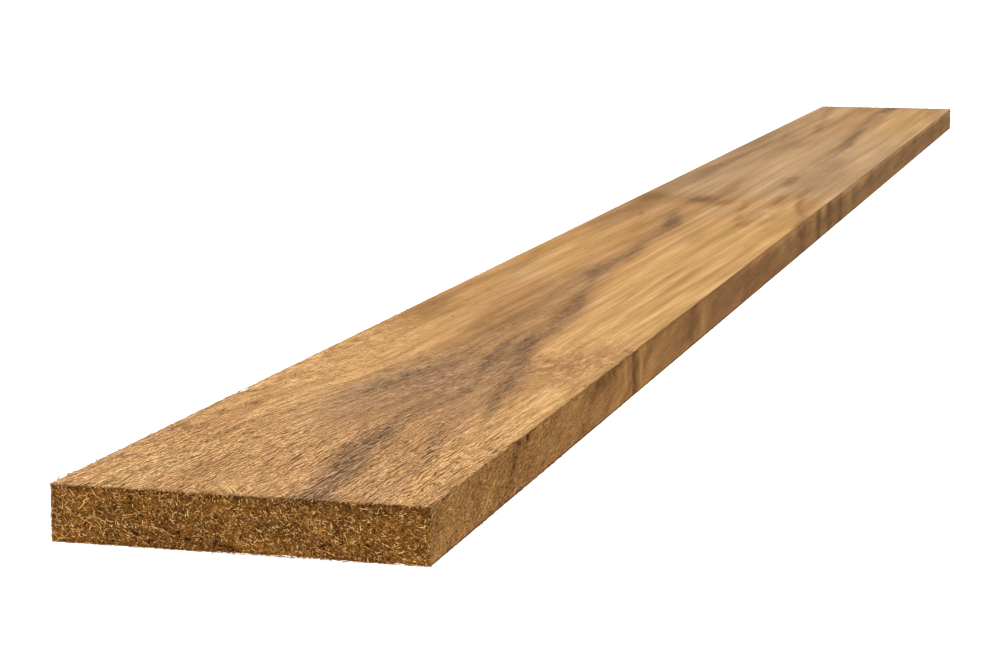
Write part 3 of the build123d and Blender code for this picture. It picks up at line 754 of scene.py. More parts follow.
# ---------------------------------------------------------------------------
# Loose fibres: closed tapering slivers with three sides, rooted in the surface.
# ---------------------------------------------------------------------------
def unit(v):
    return v / np.maximum(np.linalg.norm(v, axis=-1, keepdims=True), 1e-9)


class Strands:
    """Gathers slivers and joins them into one object."""

    def __init__(self):
        self.co, self.tris, self.quads, self.info, self.count = [], [], [], [], 0

    def lay(self, base, way, out, length, radius, curl, rise, face, tone, pale, h=None, rings=4, flat=0.8, both=False, fall=0.0, floor=True):
        """base, way and out are points and directions in (s, t, z). A sliver leaves base along way, bends sideways by curl
        and away from the surface by rise, in radians; fall brings it back down. both tapers it at both ends."""
        n = len(base)
        root = base
        out = unit(out)
        across = unit(np.cross(out, unit(way)))
        way = np.cross(across, out)
        u = np.linspace(0, 1, rings + 1)
        pts, dirs = [base], []
        for a in u[:-1] + 0.5 / rings:
            phi, th = curl * (a - 0.15), rise * (1 - 2 * a * fall)
            d = (way * np.cos(phi)[:, None] + across * np.sin(phi)[:, None]) * np.cos(th)[:, None] + out * np.sin(th)[:, None]
            dirs.append(d)
            pts.append(pts[-1] + d * (length / rings)[:, None])
        verts = []
        for i in range(rings):
            d = dirs[i] if i == 0 else unit(dirs[i - 1] + dirs[i])
            side = unit(np.cross(d, out))
            up = np.cross(side, d)
            share = (0.45 + 0.55 * math.sin(math.pi * (0.12 + 0.8 * u[i]))) if both else (1 - 0.6 * u[i])
            r = (radius * share)[:, None]
            for k in range(3):
                a = 2 * math.pi * k / 3 + math.pi / 2
                verts.append(pts[i] + side * r * math.cos(a) + up * r * flat * math.sin(a))
        verts.append(pts[-1])
        co = np.stack(verts, 1)
        if floor:
            co[:, :, 2] = np.maximum(co[:, :, 2], 0.02)
        per = co.shape[1]
        tris, quads = [(0, 1, 2)], []
        for i in range(rings - 1):
            for k in range(3):
                a, b = 3 * i + k, 3 * i + (k + 1) % 3
                quads.append((b, a, a + 3, b + 3))
        top = 3 * (rings - 1)
        for k in range(3):
            tris.append((top + (k + 1) % 3, top + k, per - 1))
        offs = (self.count + np.arange(n) * per)[:, None, None]
        self.tris.append((np.array(tris)[None] + offs).reshape(-1, 3))
        if quads:
            self.quads.append((np.array(quads)[None] + offs).reshape(-1, 4))
        self.co.append(co.reshape(-1, 3))
        self.info.append((root, per, np.broadcast_to(face, n), np.broadcast_to(tone, n), np.broadcast_to(pale, n),
                          np.zeros(n) if h is None else h))
        self.count += n * per

    def make(self, name, mat):
        co = np.concatenate(self.co)
        tris, quads = np.concatenate(self.tris), np.concatenate(self.quads)
        # to_frame mirrors the t axis, so the corners are turned over
        flat = np.concatenate([tris[:, ::-1].ravel(), quads[:, ::-1].ravel()])
        sizes = np.concatenate([np.full(len(tris), 3), np.full(len(quads), 4)])
        ob = new_object(name, to_frame(co[:, 0], co[:, 1], co[:, 2]), sizes, flat)
        root = np.concatenate([i[0] for i in self.info])
        face, tone, pale, h = (np.concatenate([i[k] for i in self.info]) for k in (2, 3, 4, 5))
        per = np.concatenate([np.full(len(i[0]), i[1]) for i in self.info])
        for key, values in attributes(root[:, 0], root[:, 1], root[:, 2], face, h):
            values = np.repeat(values, per, axis=0)
            if key in ("grain", "flow"):
                values = values + (co - np.repeat(root, per, axis=0)) * (1.0, 0.6, 0.6)
            set_attribute(ob.data, key, values)
        set_attribute(ob.data, "tone", np.repeat(np.stack([tone, pale, tone * 0], -1), per, axis=0))
        ob.data.materials.append(mat)
        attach(ob, "root")
        return ob


def end_fuzz(name, near, count, seed, mat):
    """Chips and fibres torn up on an end."""
    rng = np.random.default_rng(seed)
    k = Strands()
    sgn, base_s, fc, off = (-1.0, 0.0, 4.0, 0) if near else (1.0, L, 5.0, 30)
    for kind, share in (("brown", 0.40), ("tan", 0.34), ("pale", 0.26)):
        n = int(count * share)
        t, z = rng.uniform(0.2, W - 0.2, n), rng.uniform(0.2, T - 0.2, n)
        # they gather in tufts
        tuft = noise(t / 2.6, z / 2.0, 0, 201 + seed + len(kind)) + 0.5 * noise(t / 9, z / 5, 0, 203 + seed)
        keep = rng.uniform(0, 1, n) < (0.55 + 0.9 * tuft if kind == "pale" else 0.75 + 0.3 * tuft)
        if kind != "brown":
            keep &= rng.uniform(0, 1, n) < np.where(z > T - 2.2, 0.55, 1.0)
        keep &= rng.uniform(0, 1, n) > 1.5 * scores(t, z, off) * (0.6 if kind == "brown" else 1.0)
        t, z = t[keep], z[keep]
        n = len(t)
        h = relief_end(t, z, off)
        base = np.stack([base_s + sgn * (np.clip(h, -1.5, 0.25) - 0.05), t, z], -1)
        ang = np.where(rng.uniform(0, 1, n) < 0.5, 0, math.pi) + rng.normal(-0.45, 0.8, n)
        way = np.stack([np.zeros(n), np.cos(ang), np.sin(ang)], -1)
        out = np.tile([sgn, 0.0, 0.0], (n, 1))
        if kind == "pale":
            length = np.clip(rng.lognormal(0.02, 0.45, n), 0.5, 3.0) * np.where(t < 26, 1.3, 1.0)
            radius = rng.uniform(0.20, 0.40, n)
            tone, white = rng.uniform(0.85, 1.15, n), rng.uniform(0.40, 1.0, n)
            curl, rise, rings = rng.normal(0, 0.8, n), np.abs(rng.normal(0.40, 0.25, n)), 4
        else:
            length = np.clip(rng.lognormal(0.05, 0.35, n), 0.5, 2.2)
            radius = rng.uniform(0.22, 0.45, n)
            tone = rng.uniform(0.42, 0.95, n) if kind == "brown" else rng.uniform(0.95, 1.55, n)
            white = np.zeros(n) if kind == "brown" else rng.uniform(0.0, 0.35, n)
            curl, rise, rings = rng.normal(0, 0.9, n), np.abs(rng.normal(0.30, 0.25, n)), 3
        # none leaves the board's outline by much
        reach_t, reach_z = t + np.cos(ang) * length, z + np.sin(ang) * length
        over = (reach_t < -0.5) | (reach_t > W + 0.5) | (reach_z < 0.15) | (reach_z > T + 0.4)
        length = np.where(over, np.minimum(length, 0.7), length)
        k.lay(base, way, out, length, radius, curl, rise, fc, tone, white, h, rings=rings, flat=0.65, fall=0.9)
    if near:
        # longer fibres that stand out on the near end: t, z, angle, length, radius, curl, whiteness
        for t, z, a, ln, r, c, w in (
            (10.6, 12.7, 0.62, 6.4, 0.27, -0.75, 1.0), (3.2, 13.4, -0.4, 2.2, 0.25, 0.4, 0.9), (4.6, 12.6, 1.3, 2.0, 0.25, -0.6, 1.0),
            (4.2, 13.0, 2.5, 2.0, 0.22, 0.5, 0.9), (6.4, 13.6, -0.75, 3.8, 0.24, 0.1, 0.8), (11.3, 10.2, -0.6, 3.0, 0.22, 0.2, 0.9),
            (12.6, 9.0, -0.15, 2.6, 0.22, 0.3, 0.7), (19.6, 7.0, 1.9, 3.0, 0.2, -0.9, 0.8), (23.4, 15.0, 3.5, 4.6, 0.2, 0.5, 0.6),
            (17.4, 19.0, -0.9, 1.4, 0.27, 0.4, 1.0), (63.4, 15.4, -0.2, 1.6, 0.32, 0.2, 1.0), (107.8, 13.6, -1.5, 2.6, 0.34, 0.2, 0.9),
            (108.5, 13.2, -1.9, 2.2, 0.32, -0.3, 0.8), (101.6, 14.4, 0.1, 2.4, 0.24, 0.6, 0.9), (104.4, 14.0, -0.8, 2.4, 0.22, -0.2, 0.8),
            (88.4, 13.4, -0.4, 2.6, 0.22, 0.7, 0.8), (8.2, 2.4, 0.35, 1.6, 0.24, 0.2, 0.8), (78.6, 4.6, 0.6, 2.6, 0.26, -0.4, 1.0),
            (77.4, 4.2, -0.2, 2.2, 0.3, 0.4, 1.0), (134.4, 18.6, 0.1, 2.0, 0.24, -0.5, 0.8), (126.4, 9.8, 0.3, 2.4, 0.22, 0.5, 0.7),
            (46.0, 13.6, -0.8, 2.8, 0.2, 0.2, 0.8), (52.0, 11.4, -0.9, 2.0, 0.2, 0.4, 0.8), (39.6, 6.4, -0.3, 2.2, 0.2, 1.0, 0.7),
            (30.4, 12.0, 0.1, 3.6, 0.2, -0.4, 0.6), (66.8, 7.4, 0.2, 2.2, 0.2, 0.6, 0.7), (112.6, 9.8, -0.9, 2.0, 0.24, 0.2, 0.8),
            (117.6, 11.0, -1.0, 2.4, 0.22, -0.3, 0.7), (130.6, 6.2, 0.5, 2.0, 0.22, 0.6, 0.7), (97.6, 6.4, 0.2, 2.0, 0.22, 0.7, 0.7),
            (73.4, 12.6, -0.3, 2.2, 0.2, 0.6, 0.7), (47.6, 16.4, 0.5, 1.8, 0.28, 0.4, 0.9), (108.0, 2.4, -0.4, 1.8, 0.32, 0.2, 0.9),
        ):
            h = relief_end(np.array([t]), np.array([z]), 0)
            k.lay(np.array([[-float(h[0]) + 0.02, t, z]]), np.array([[0.0, math.cos(a), math.sin(a)]]), np.array([[-1.0, 0, 0]]),
                  np.array([ln]), np.array([r]), np.array([c * 1.3]), np.array([0.40]), fc, np.array([1.0]), np.array([w]), h,
                  rings=7, flat=0.7, fall=0.9)
    return k.make(name, mat)


def raised_grain(name, face, parts, seed, mat):
    """Slivers of a face lifted by the saw. parts is (s from, s to, count, how much longer, how much their tone varies)."""
    rng = np.random.default_rng(seed)
    k = Strands()
    for lo, hi, count, grow, vary in parts:
        s = rng.uniform(lo, hi, count)
        if face in (0, 2):
            t, z = rng.uniform(0.8, W - 0.8, count), np.full(count, T if face == 0 else 0.0)
            out = np.array([0.0, 0.0, 1.0 if face == 0 else -1.0])
        else:
            t, z = np.full(count, W if face == 1 else 0.0), rng.uniform(0.8, T - 0.8, count)
            out = np.array([0.0, 1.0 if face == 1 else -1.0, 0.0])
        fc = np.full(count, float(face))
        st, sz, h, g, m, band = surface(s, t, z, fc)
        torn = m["torn"]
        # more where the surface is torn
        keep = rng.uniform(0, 1, count) < 0.55 + 0.45 * torn + 0.45 * noise(s / 14, (t + z) / 3.0, 0, 211 + seed)
        s, t, z, st, sz, h, fc, torn = (v[keep] for v in (s, t, z, st, sz, h, fc, torn))
        n = len(s)
        base = np.stack([s, st, sz], -1) - out * 0.05
        flip = np.where(rng.uniform(0, 1, n) < 0.5, 1.0, -1.0)
        if face in (0, 2):
            # along the fibres there
            e = 3.0
            f0, f1 = flow(s - e, t), flow(s + e, t)
            ft = (flow(s, t + 1) - flow(s, t - 1)) / 2
            ang = -(f1 - f0) / (2 * e) / np.maximum(ft, 0.5) + rng.normal(0, 0.02 + 0.30 * torn ** 2, n)
            way = np.stack([flip * np.cos(ang), flip * np.sin(ang), np.zeros(n)], -1)
            length = np.clip(rng.lognormal(1.30, 0.45, n), 1.2, 10.0) * grow * (1 - 0.55 * torn)
            curl = rng.normal(0, 0.05 + 0.8 * torn ** 2, n)
            rise = np.abs(rng.normal(0.02, 0.02, n)) + torn * np.abs(rng.normal(0.05, 0.10, n))
        else:
            # lying flatter and straighter away from the near end
            calm = smooth(140, 300, s)
            ang = rng.normal(0, 0.6, n) * (1 - 0.75 * calm)
            way = np.stack([flip * np.cos(ang), np.zeros(n), flip * np.sin(ang)], -1)
            length = np.clip(rng.lognormal(0.35, 0.5, n), 0.7, 5.0) * grow
            curl = rng.normal(0, 0.9, n) * (1 - 0.9 * calm)
            rise = np.abs(rng.normal(0.08, 0.12, n)) * (1 - 0.8 * calm)
        radius = rng.uniform(0.09, 0.18, n) * (0.8 + 0.2 * grow)
        tone = np.clip(rng.normal(0.97, vary, n), 0.4, 1.35)
        white = np.clip(rng.normal(0.0, 0.7 * vary, n), 0, 0.5)
        k.lay(base, way, np.tile(out, (n, 1)), length, radius, curl, rise, fc, tone, white, h, rings=2, flat=0.8, both=True)
    return k.make(name, mat)


def arris_splinters(name, seed, mat):
    rng = np.random.default_rng(seed)
    k = Strands()
    # along the four long arrises
    for t0, z0, nt, nz, count in ((0, T, -1, 1, 900), (W, T, 1, 1, 800), (W, 0, 1, -1, 450), (0, 0, -1, -1, 400)):
        s = rng.uniform(1, L - 1, count)
        s[: count // 3] = rng.uniform(1, 330, count // 3)
        back = rng.uniform(0, 0.5, count)
        base = np.stack([s, t0 - nt * (0.35 + back), z0 - nz * (0.22 + 0 * back)], -1)
        out = np.tile([0.0, nt * 0.7, nz * 0.7], (count, 1))
        flip = np.where(rng.uniform(0, 1, count) < 0.5, 1.0, -1.0)
        way = np.stack([flip, rng.normal(0, 0.15, count), rng.normal(0, 0.15, count)], -1)
        length = np.clip(rng.lognormal(0.75, 0.5, count), 0.8, 6)
        way[:, 1:] *= np.where(s < 200, 0.8, 0.25)[:, None]
        k.lay(base, way, out, length, rng.uniform(0.09, 0.20, count), rng.normal(0, 1, count) * np.where(s < 200, 0.3, 0.06),
              np.abs(rng.normal(0, 1, count)) * np.where(s < 200, 0.09, 0.015),
              0.0, np.clip(rng.normal(0.95, 0.25, count), 0.4, 1.5), np.zeros(count), rings=3)
    # across the end arrises, where the saw left the wood
    for near in (True, False):
        sgn, s0 = (-1.0, 0.0) if near else (1.0, L)
        for z0, count in ((T, 950 if near else 500), (0.0, 260 if near else 200)):
            t = rng.uniform(0.4, W - 0.4, count)
            nz = 1.0 if z0 > 0 else -1.0
            base = np.stack([np.full(count, s0) - sgn * rng.uniform(0.2, 1.6, count), t, np.full(count, z0 - nz * 0.14)], -1)
            out = np.tile([0.0, 0.0, nz], (count, 1))
            ang = rng.normal(0, 0.55, count)
            way = np.stack([sgn * np.cos(ang), np.sin(ang), np.zeros(count)], -1)
            length = np.clip(rng.lognormal(0.30, 0.45, count), 0.6, 3.2)
            rise = rng.normal(-0.15, 0.30, count) if z0 > 0 else np.abs(rng.normal(0, 0.05, count))
            k.lay(base, way, out, length, rng.uniform(0.12, 0.26, count), rng.normal(0, 0.8, count), rise,
                  0.0, np.clip(rng.normal(1.0, 0.28, count), 0.4, 1.5), np.clip(rng.normal(0.1, 0.2, count), 0, 0.7), rings=3, flat=0.7)
    # wide slices torn across the top at the near arris: s, t, length, radius, bend, tone, paleness
    for s, t, ln, r, c, tn, wh in (
        (20, 57.5, 21, 0.55, 0.10, 1.12, 0.25), (16, 57.8, 17, 0.45, -0.15, 0.95, 0.0), (15, 60.5, 17, 0.70, 0.12, 1.20, 0.45), (12, 60.6, 13, 0.50, 0.25, 0.72, 0.0),
        (12, 63.8, 14, 0.80, 0.20, 1.25, 0.55), (8.5, 64.6, 9, 0.50, -0.20, 0.70, 0.0), (9, 67.5, 10, 0.65, 0.10, 1.15, 0.35), (6, 69, 6.5, 0.50, 0.3, 0.8, 0.0),
        (6, 58.5, 6.5, 0.60, 0.2, 1.10, 0.4), (4.5, 61.5, 5, 0.55, -0.2, 0.9, 0.2), (11, 55.0, 9, 0.40, 0.2, 0.85, 0.0), (6, 74.5, 4.2, 0.35, 1.2, 0.7, 0.0),
        (1.2, 76.8, 4.0, 0.35, -1.6, 1.1, 0.6), (5.2, 73.2, 4.6, 0.30, 0.9, 1.2, 0.7),
    ):
        w = math.hypot(0.82, 0.57)
        k.lay(np.array([[s, t, T - 0.10]]), np.array([[-0.82 / w, 0.57 / w, 0.0]]), np.array([[0.0, 0.0, 1.0]]), np.array([float(ln)]),
              np.array([r]), np.array([c]), np.array([0.025]), 0.0, np.array([tn]), np.array([wh]), rings=6, flat=0.38, both=True, fall=1.3)
    # a few that stand up on the +Y arris near the end: s, t, z, direction, length, radius, curl
    for s, t, z, d, ln, r, c in (
        (6.0, 0.5, 21.8, (0.9, -0.25, 0.7), 2.0, 0.30, 0.9), (15.5, 0.4, 21.8, (0.8, -0.2, 0.6), 1.7, 0.28, -0.6), (21.0, 0.5, 21.8, (-0.8, -0.2, 0.6), 1.5, 0.28, 0.8),
        (0.6, 0.6, 21.4, (-0.5, -0.6, 0.2), 0.9, 0.34, 0.5), (3.0, 14.0, 22.0, (-0.6, 0.3, 0.5), 1.3, 0.3, 0.8), (1.0, 0.4, 19.5, (-0.6, -0.6, 0.3), 0.8, 0.34, 0.4),
        (0.8, 0.5, 16.0, (-0.6, -0.8, -0.2), 1.0, 0.2, 0.4), (0.4, 144.4, 18.0, (-0.8, 0.5, 0.4), 1.1, 0.2, 0.4), (0.3, 70.5, 22.0, (-0.9, 0.3, 0.5), 1.6, 0.2, 0.6),
        (0.5, 62.0, 22.0, (-0.8, 0.6, 0.6), 1.8, 0.22, -0.6), (41, 0.6, 21.9, (0.7, -0.3, 0.6), 1.5, 0.18, 0.6), (74, 0.6, 21.9, (0.8, -0.3, 0.5), 1.8, 0.18, 0.6),
    ):
        d = np.array([d])
        side = np.cross(d, np.array([[0.3, 0.9, 0.2]]))
        k.lay(np.array([[s, t, z]]), d, side, np.array([ln]), np.array([r]), np.array([c]), np.array([0.1]), 0.0, np.array([0.42]),
              np.array([0.0]), rings=4)
    return k.make(name, mat)


# ---------------------------------------------------------------------------
# Material
# ---------------------------------------------------------------------------
class Nodes:
    """A small helper to write shader trees."""

    def __init__(self, name):
        self.mat = bpy.data.materials.new(name)
        self.mat.use_nodes = True
        self.nt = self.mat.node_tree
        self.nt.nodes.clear()
        self.out = self.nt.nodes.new("ShaderNodeOutputMaterial")

    def link(self, value, socket):
        if isinstance(value, bpy.types.NodeSocket):
            self.nt.links.new(value, socket)
        elif isinstance(value, (tuple, list)):
            socket.default_value = (*value, 1.0) if len(value) == 3 and len(socket.default_value) == 4 else value
        else:
            socket.default_value = value

    def math(self, op, a, b=0.0, c=0.0, clamp=False):
        n = self.nt.nodes.new("ShaderNodeMath")
        n.operation, n.use_clamp = op, clamp
        for v, s in zip((a, b, c), n.inputs):
            self.link(v, s)
        return n.outputs[0]

    def add(self, a, b):
        return self.math("ADD", a, b)

    def sub(self, a, b):
        return self.math("SUBTRACT", a, b)

    def mul(self, a, b):
        return self.math("MULTIPLY", a, b)

    def madd(self, a, b, c):
        return self.math("MULTIPLY_ADD", a, b, c)

    def most(self, a, b):
        return self.math("MAXIMUM", a, b)

    def attr(self, name):
        n = self.nt.nodes.new("ShaderNodeAttribute")
        n.attribute_name = name
        return n.outputs["Vector"]

    def split(self, v):
        n = self.nt.nodes.new("ShaderNodeSeparateXYZ")
        self.link(v, n.inputs[0])
        return n.outputs[0], n.outputs[1], n.outputs[2]

    def join(self, x, y, z):
        n = self.nt.nodes.new("ShaderNodeCombineXYZ")
        for v, s in zip((x, y, z), n.inputs):
            self.link(v, s)
        return n.outputs[0]

    def scale(self, v, xyz, shift=(0, 0, 0)):
        n = self.nt.nodes.new("ShaderNodeVectorMath")
        n.operation = "MULTIPLY_ADD"
        self.link(v, n.inputs[0])
        n.inputs[1].default_value = xyz
        n.inputs[2].default_value = shift
        return n.outputs[0]

    def noise(self, v, detail=2.0, rough=0.5, distort=0.0, scale=1.0):
        n = self.nt.nodes.new("ShaderNodeTexNoise")
        n.noise_dimensions = "3D"
        self.link(v, n.inputs["Vector"])
        n.inputs["Scale"].default_value = scale
        n.inputs["Detail"].default_value = detail
        n.inputs["Roughness"].default_value = rough
        n.inputs["Distortion"].default_value = distort
        return n.outputs["Fac"]

    def remap(self, v, a, b, c=0.0, d=1.0, smoothed=True):
        n = self.nt.nodes.new("ShaderNodeMapRange")
        n.interpolation_type = "SMOOTHSTEP" if smoothed else "LINEAR"
        self.link(v, n.inputs["Value"])
        for name, x in (("From Min", a), ("From Max", b), ("To Min", c), ("To Max", d)):
            self.link(x, n.inputs[name])
        return n.outputs["Result"]

    def mix(self, f, a, b, kind="MIX"):
        n = self.nt.nodes.new("ShaderNodeMix")
        n.data_type, n.blend_type, n.clamp_result = "RGBA", kind, False
        self.link(f, n.inputs["Factor"])
        self.link(a, n.inputs[6])
        self.link(b, n.inputs[7])
        return n.outputs[2]

    def grey(self, v):
        return self.join(v, v, v)

    def swing(self, v, amount):
        """1 where v is at its middle of 0.5, and amount times its distance from there."""
        return self.madd(self.sub(v, 0.5), amount, 1.0)


def srgb(r, g, b):
    """A colour given as 8-bit sRGB, in linear light."""
    out = []
    for c in (r, g, b):
        c = c / 255
        out.append(c / 12.92 if c <= 0.04045 else ((c + 0.055) / 1.055) ** 2.4)
    return tuple(out)


# How brightly each face is lit, so that a colour can be given as it should look there.
LIT_TOP, LIT_EDGE, LIT_END = (1.20, 1.20, 1.20), (0.78, 0.78, 0.78), (0.86, 0.86, 0.86)


def top(*rgb):
    return tuple(min(0.95, c / k) for c, k in zip(srgb(*rgb), LIT_TOP))


def edge(*rgb):
    return tuple(min(0.95, c / k) for c, k in zip(srgb(*rgb), LIT_EDGE))


def butt(*rgb):
    return tuple(min(0.95, c / k) for c, k in zip(srgb(*rgb), LIT_END))


def timber(name, strands=False):
    k = Nodes(name)
    g = k.attr("grain")
    dark, plum, red = k.split(k.attr("marks_a"))
    gold, pale, torn = k.split(k.attr("marks_b"))
    brown, light, hollow = k.split(k.attr("marks_c"))
    side, end, band = k.split(k.attr("where"))
    f = k.attr("flow")
    gs, gq, gr = k.split(g)
    # the broader figure is drawn out lengthwise, the more so the further from the near end
    ds = k.mul(k.math("LOGARITHM", k.madd(gs, 1 / 300, 1.0), math.e), 300.0)
    fs, ft, fz = k.split(f)
    drawn = k.join(ds, ft, fz)
    place = k.scale(k.nt.nodes.new("ShaderNodeTexCoord").outputs["Object"], (1000, 1000, 1000))
    px, py, pz = k.split(place)

    # noises that follow the grain, from broad to fine
    low = k.noise(k.scale(g, (1 / 240, 1 / 17, 1 / 13)), 2.0, 0.5)
    mid = k.noise(k.scale(drawn, (1 / 52, 1 / 3.2, 1 / 3.2), (3.1, 7.7, 1.3)), 2.0, 0.5)
    clod = k.noise(k.scale(place, (1 / 22, 1 / 6.5, 1 / 6), (2.7, 3.1, 8.3)), 1.5, 0.5, 0.4)
    blotch = k.noise(k.scale(drawn, (1 / 72, 1 / 14, 1 / 13), (8.1, 3.7, 2.3)), 1.5, 0.5)
    line = k.noise(k.scale(f, (1 / 26, 1 / 1.30, 1 / 1.2), (9.1, 2.7, 5.3)), 2.0, 0.6)
    hair = k.noise(k.scale(f, (1 / 6.0, 1 / 0.62, 1 / 0.50), (1.7, 4.9, 8.3)), 1.0, 0.6)
    grit = k.noise(k.scale(place, (1 / 1.9, 1 / 0.62, 1 / 0.62), (5.5, 1.4, 2.9)), 1.0, 0.6, 0.3)
    stripe = k.noise(k.scale(drawn, (1 / 60, 1 / 7.0, 1 / 7), (1.1, 5.7, 4.3)), 1.0, 0.5)
    dash = k.noise(k.scale(drawn, (1 / 12, 1 / 1.45, 1 / 1.3), (4.2, 8.8, 0.7)), 1.5, 0.6, 0.3)
    lump = k.noise(k.scale(place, (1 / 9, 1 / 3.4, 1 / 3.0), (7.7, 5.1, 3.3)), 2.0, 0.6, 0.5)
    near = k.remap(gs, 230, 560, 1.0, 0.38)
    close = k.mul(k.remap(gs, 70, 230, 1.0, 0.36), k.remap(gs, 235, 620, 1.0, 0.12))
    # smoother where the wood is golden, and towards the +Y edge
    close = k.mul(close, k.mul(k.remap(gold, 0.65, 0.95, 1.0, 0.45), k.remap(py, -35, 5, 0.98, 0.97)))
    close = k.mul(close, k.madd(dark, 0.35, 1.0))
    # long thin crevices in groups, short pits between them, painted shade in them and a painted highlight on one lip of
    # each
    group = k.noise(k.scale(f, (1 / 70, 1 / 6, 1 / 5), (6.1, 1.2, 2.2)), 2.0, 0.5)
    gap = k.noise(k.scale(f, (1 / 13, 1 / 1.6, 1 / 5), (2.1, 5.2, 7.2)), 1.0, 0.5)
    split_at, pit_at = (0.4, 6.6, 3.9), (4.4, 0.6, 1.9)
    a, b = (1 / 30, 1 / 1.00, 1 / 1.0), (1 / 8.5, 1 / 0.74, 1 / 0.7)
    split, pit = k.noise(k.scale(f, a, split_at), 1.0, 0.5), k.noise(k.scale(f, b, pit_at), 1.0, 0.5)
    # the same, sampled beside them: the lip of each crevice, which gets a painted highlight
    split_lip = k.noise(k.scale(f, a, (0.4, 6.6 - 0.60 * a[1], 3.9)), 1.0, 0.5)
    pit_lip = k.noise(k.scale(f, b, (4.4, 0.6 - 0.52 * b[1], 1.9)), 1.0, 0.5)
    in_group, loose = k.remap(gap, 0.40, 0.50), k.remap(group, 0.62, 0.38, 0.45, 1.0)
    more = k.madd(dark, 0.035, 0.0)

    def cuts(one, two):
        long_cut = k.mul(k.remap(k.sub(one, more), 0.395, 0.345), in_group)
        return k.mul(k.most(long_cut, k.mul(k.remap(k.sub(two, more), 0.395, 0.335), loose)), close)

    crevice, lip_highlight = cuts(split, pit), cuts(split_lip, pit_lip)
    # frayed places
    fuzz = k.noise(k.scale(place, (1 / 2.6, 1 / 1.0, 1 / 1.0), (5.1, 0.2, 7.7)), 3.0, 0.65, 0.6)
    frayed = k.math("MULTIPLY", torn, near, clamp=True)
    # crumbly where the grain turns: lumps rather than lines
    crumbly = k.mul(k.math("MULTIPLY", k.most(frayed, k.mul(plum, 0.72)), 1.30, clamp=True), k.mul(k.remap(gs, 140, 230), k.remap(gs, 380, 620, 1.0, 0.35)))
    lined = k.madd(crumbly, -0.75, 1.0)
    crumb = k.noise(k.scale(place, (1 / 6.5, 1 / 1.9, 1 / 1.9), (4.7, 2.1, 6.3)), 1.5, 0.55, 0.5)

    # clean sawn wood
    col = k.mix(k.remap(low, 0.38, 0.62), top(212, 162, 106), top(198, 149, 98))
    col = k.mix(k.mul(gold, 0.80), col, top(228, 181, 117))
    col = k.mix(k.mul(pale, 0.80), col, top(202, 164, 122))
    col = k.mix(k.mul(red, 0.75), col, top(184, 128, 78))
    col = k.mix(k.mul(brown, k.remap(gs, 220, 320, 0.75, 0.90)), col, k.mix(k.remap(gs, 220, 320), top(170, 125, 76), top(150, 106, 62)))
    vee = k.mul(k.remap(gs, 120, 190), k.remap(gs, 520, 760, 1.0, 0.0))
    col = k.mix(k.mul(plum, 0.85), col, k.mix(vee, top(150, 115, 88), top(137, 107, 86)))
    darkf = k.math("MULTIPLY", dark, k.mul(k.remap(line, 0.32, 0.62, 1.15, 0.75), k.remap(hair, 0.36, 0.62, 1.25, 0.55)), clamp=True)
    col = k.mix(darkf, col, top(110, 84, 64))
    fine = k.mul(k.swing(line, k.mul(lined, k.mul(near, 0.36))), k.mul(k.swing(hair, k.mul(close, 1.60)), k.swing(grit, k.mul(close, 2.50))))
    fine = k.mul(fine, k.swing(dash, k.mul(lined, k.mul(k.remap(gs, 80, 190, 0.30, 1.30), k.remap(gs, 230, 460, 1.0, 0.18)))))
    fine = k.mul(fine, k.mul(k.swing(lump, k.most(k.mul(frayed, 0.35), k.mul(crumbly, 1.55))), k.mul(k.swing(clod, k.mul(crumbly, 1.15)), k.swing(crumb, k.mul(crumbly, k.madd(plum, 1.9, 0.65))))))
    shade = k.mul(k.swing(mid, k.mul(lined, k.mul(k.remap(gs, 130, 270, 0.60, 0.84), k.remap(gs, 500, 1000, 1.0, 0.42)))), fine)
    shade = k.mul(shade, k.swing(stripe, k.mul(lined, k.mul(k.remap(gs, 300, 480, 0.15, 0.95), k.remap(gs, 850, 1300, 1.0, 0.45)))))
    shade = k.mul(shade, k.swing(blotch, k.remap(gs, 150, 1100, 0.45, 0.95)))
    shade = k.mul(shade, k.madd(light, 0.50, 1.0))
    shade = k.mul(shade, k.swing(fuzz, k.mul(frayed, k.remap(gs, 180, 350, 0.60, 0.15))))
    shade = k.mul(shade, k.madd(k.remap(gs, 80, 500, 1.0, 0.0), 0.23, 0.94))
    # light places are paler and dark ones redder
    shade = k.most(shade, 0.05)
    col = k.mix(1.0, col, k.join(k.math("POWER", shade, 0.85), shade, k.math("POWER", shade, 1.30)), "MULTIPLY")
    col = k.mix(k.remap(gs, 800, 1150), col, k.mix(1.0, col, (0.955, 1.01, 1.08), "MULTIPLY"))
    # painted highlight on the lip beside each crevice
    col = k.mix(k.mul(lip_highlight, 0.40), col, k.mix(dark, top(228, 186, 130), top(176, 146, 116)))
    # painted shade in the crevices, which the bump also sinks
    col = k.mix(k.mul(crevice, 0.82), col, k.mix(dark, top(120, 76, 36), top(60, 42, 28)))

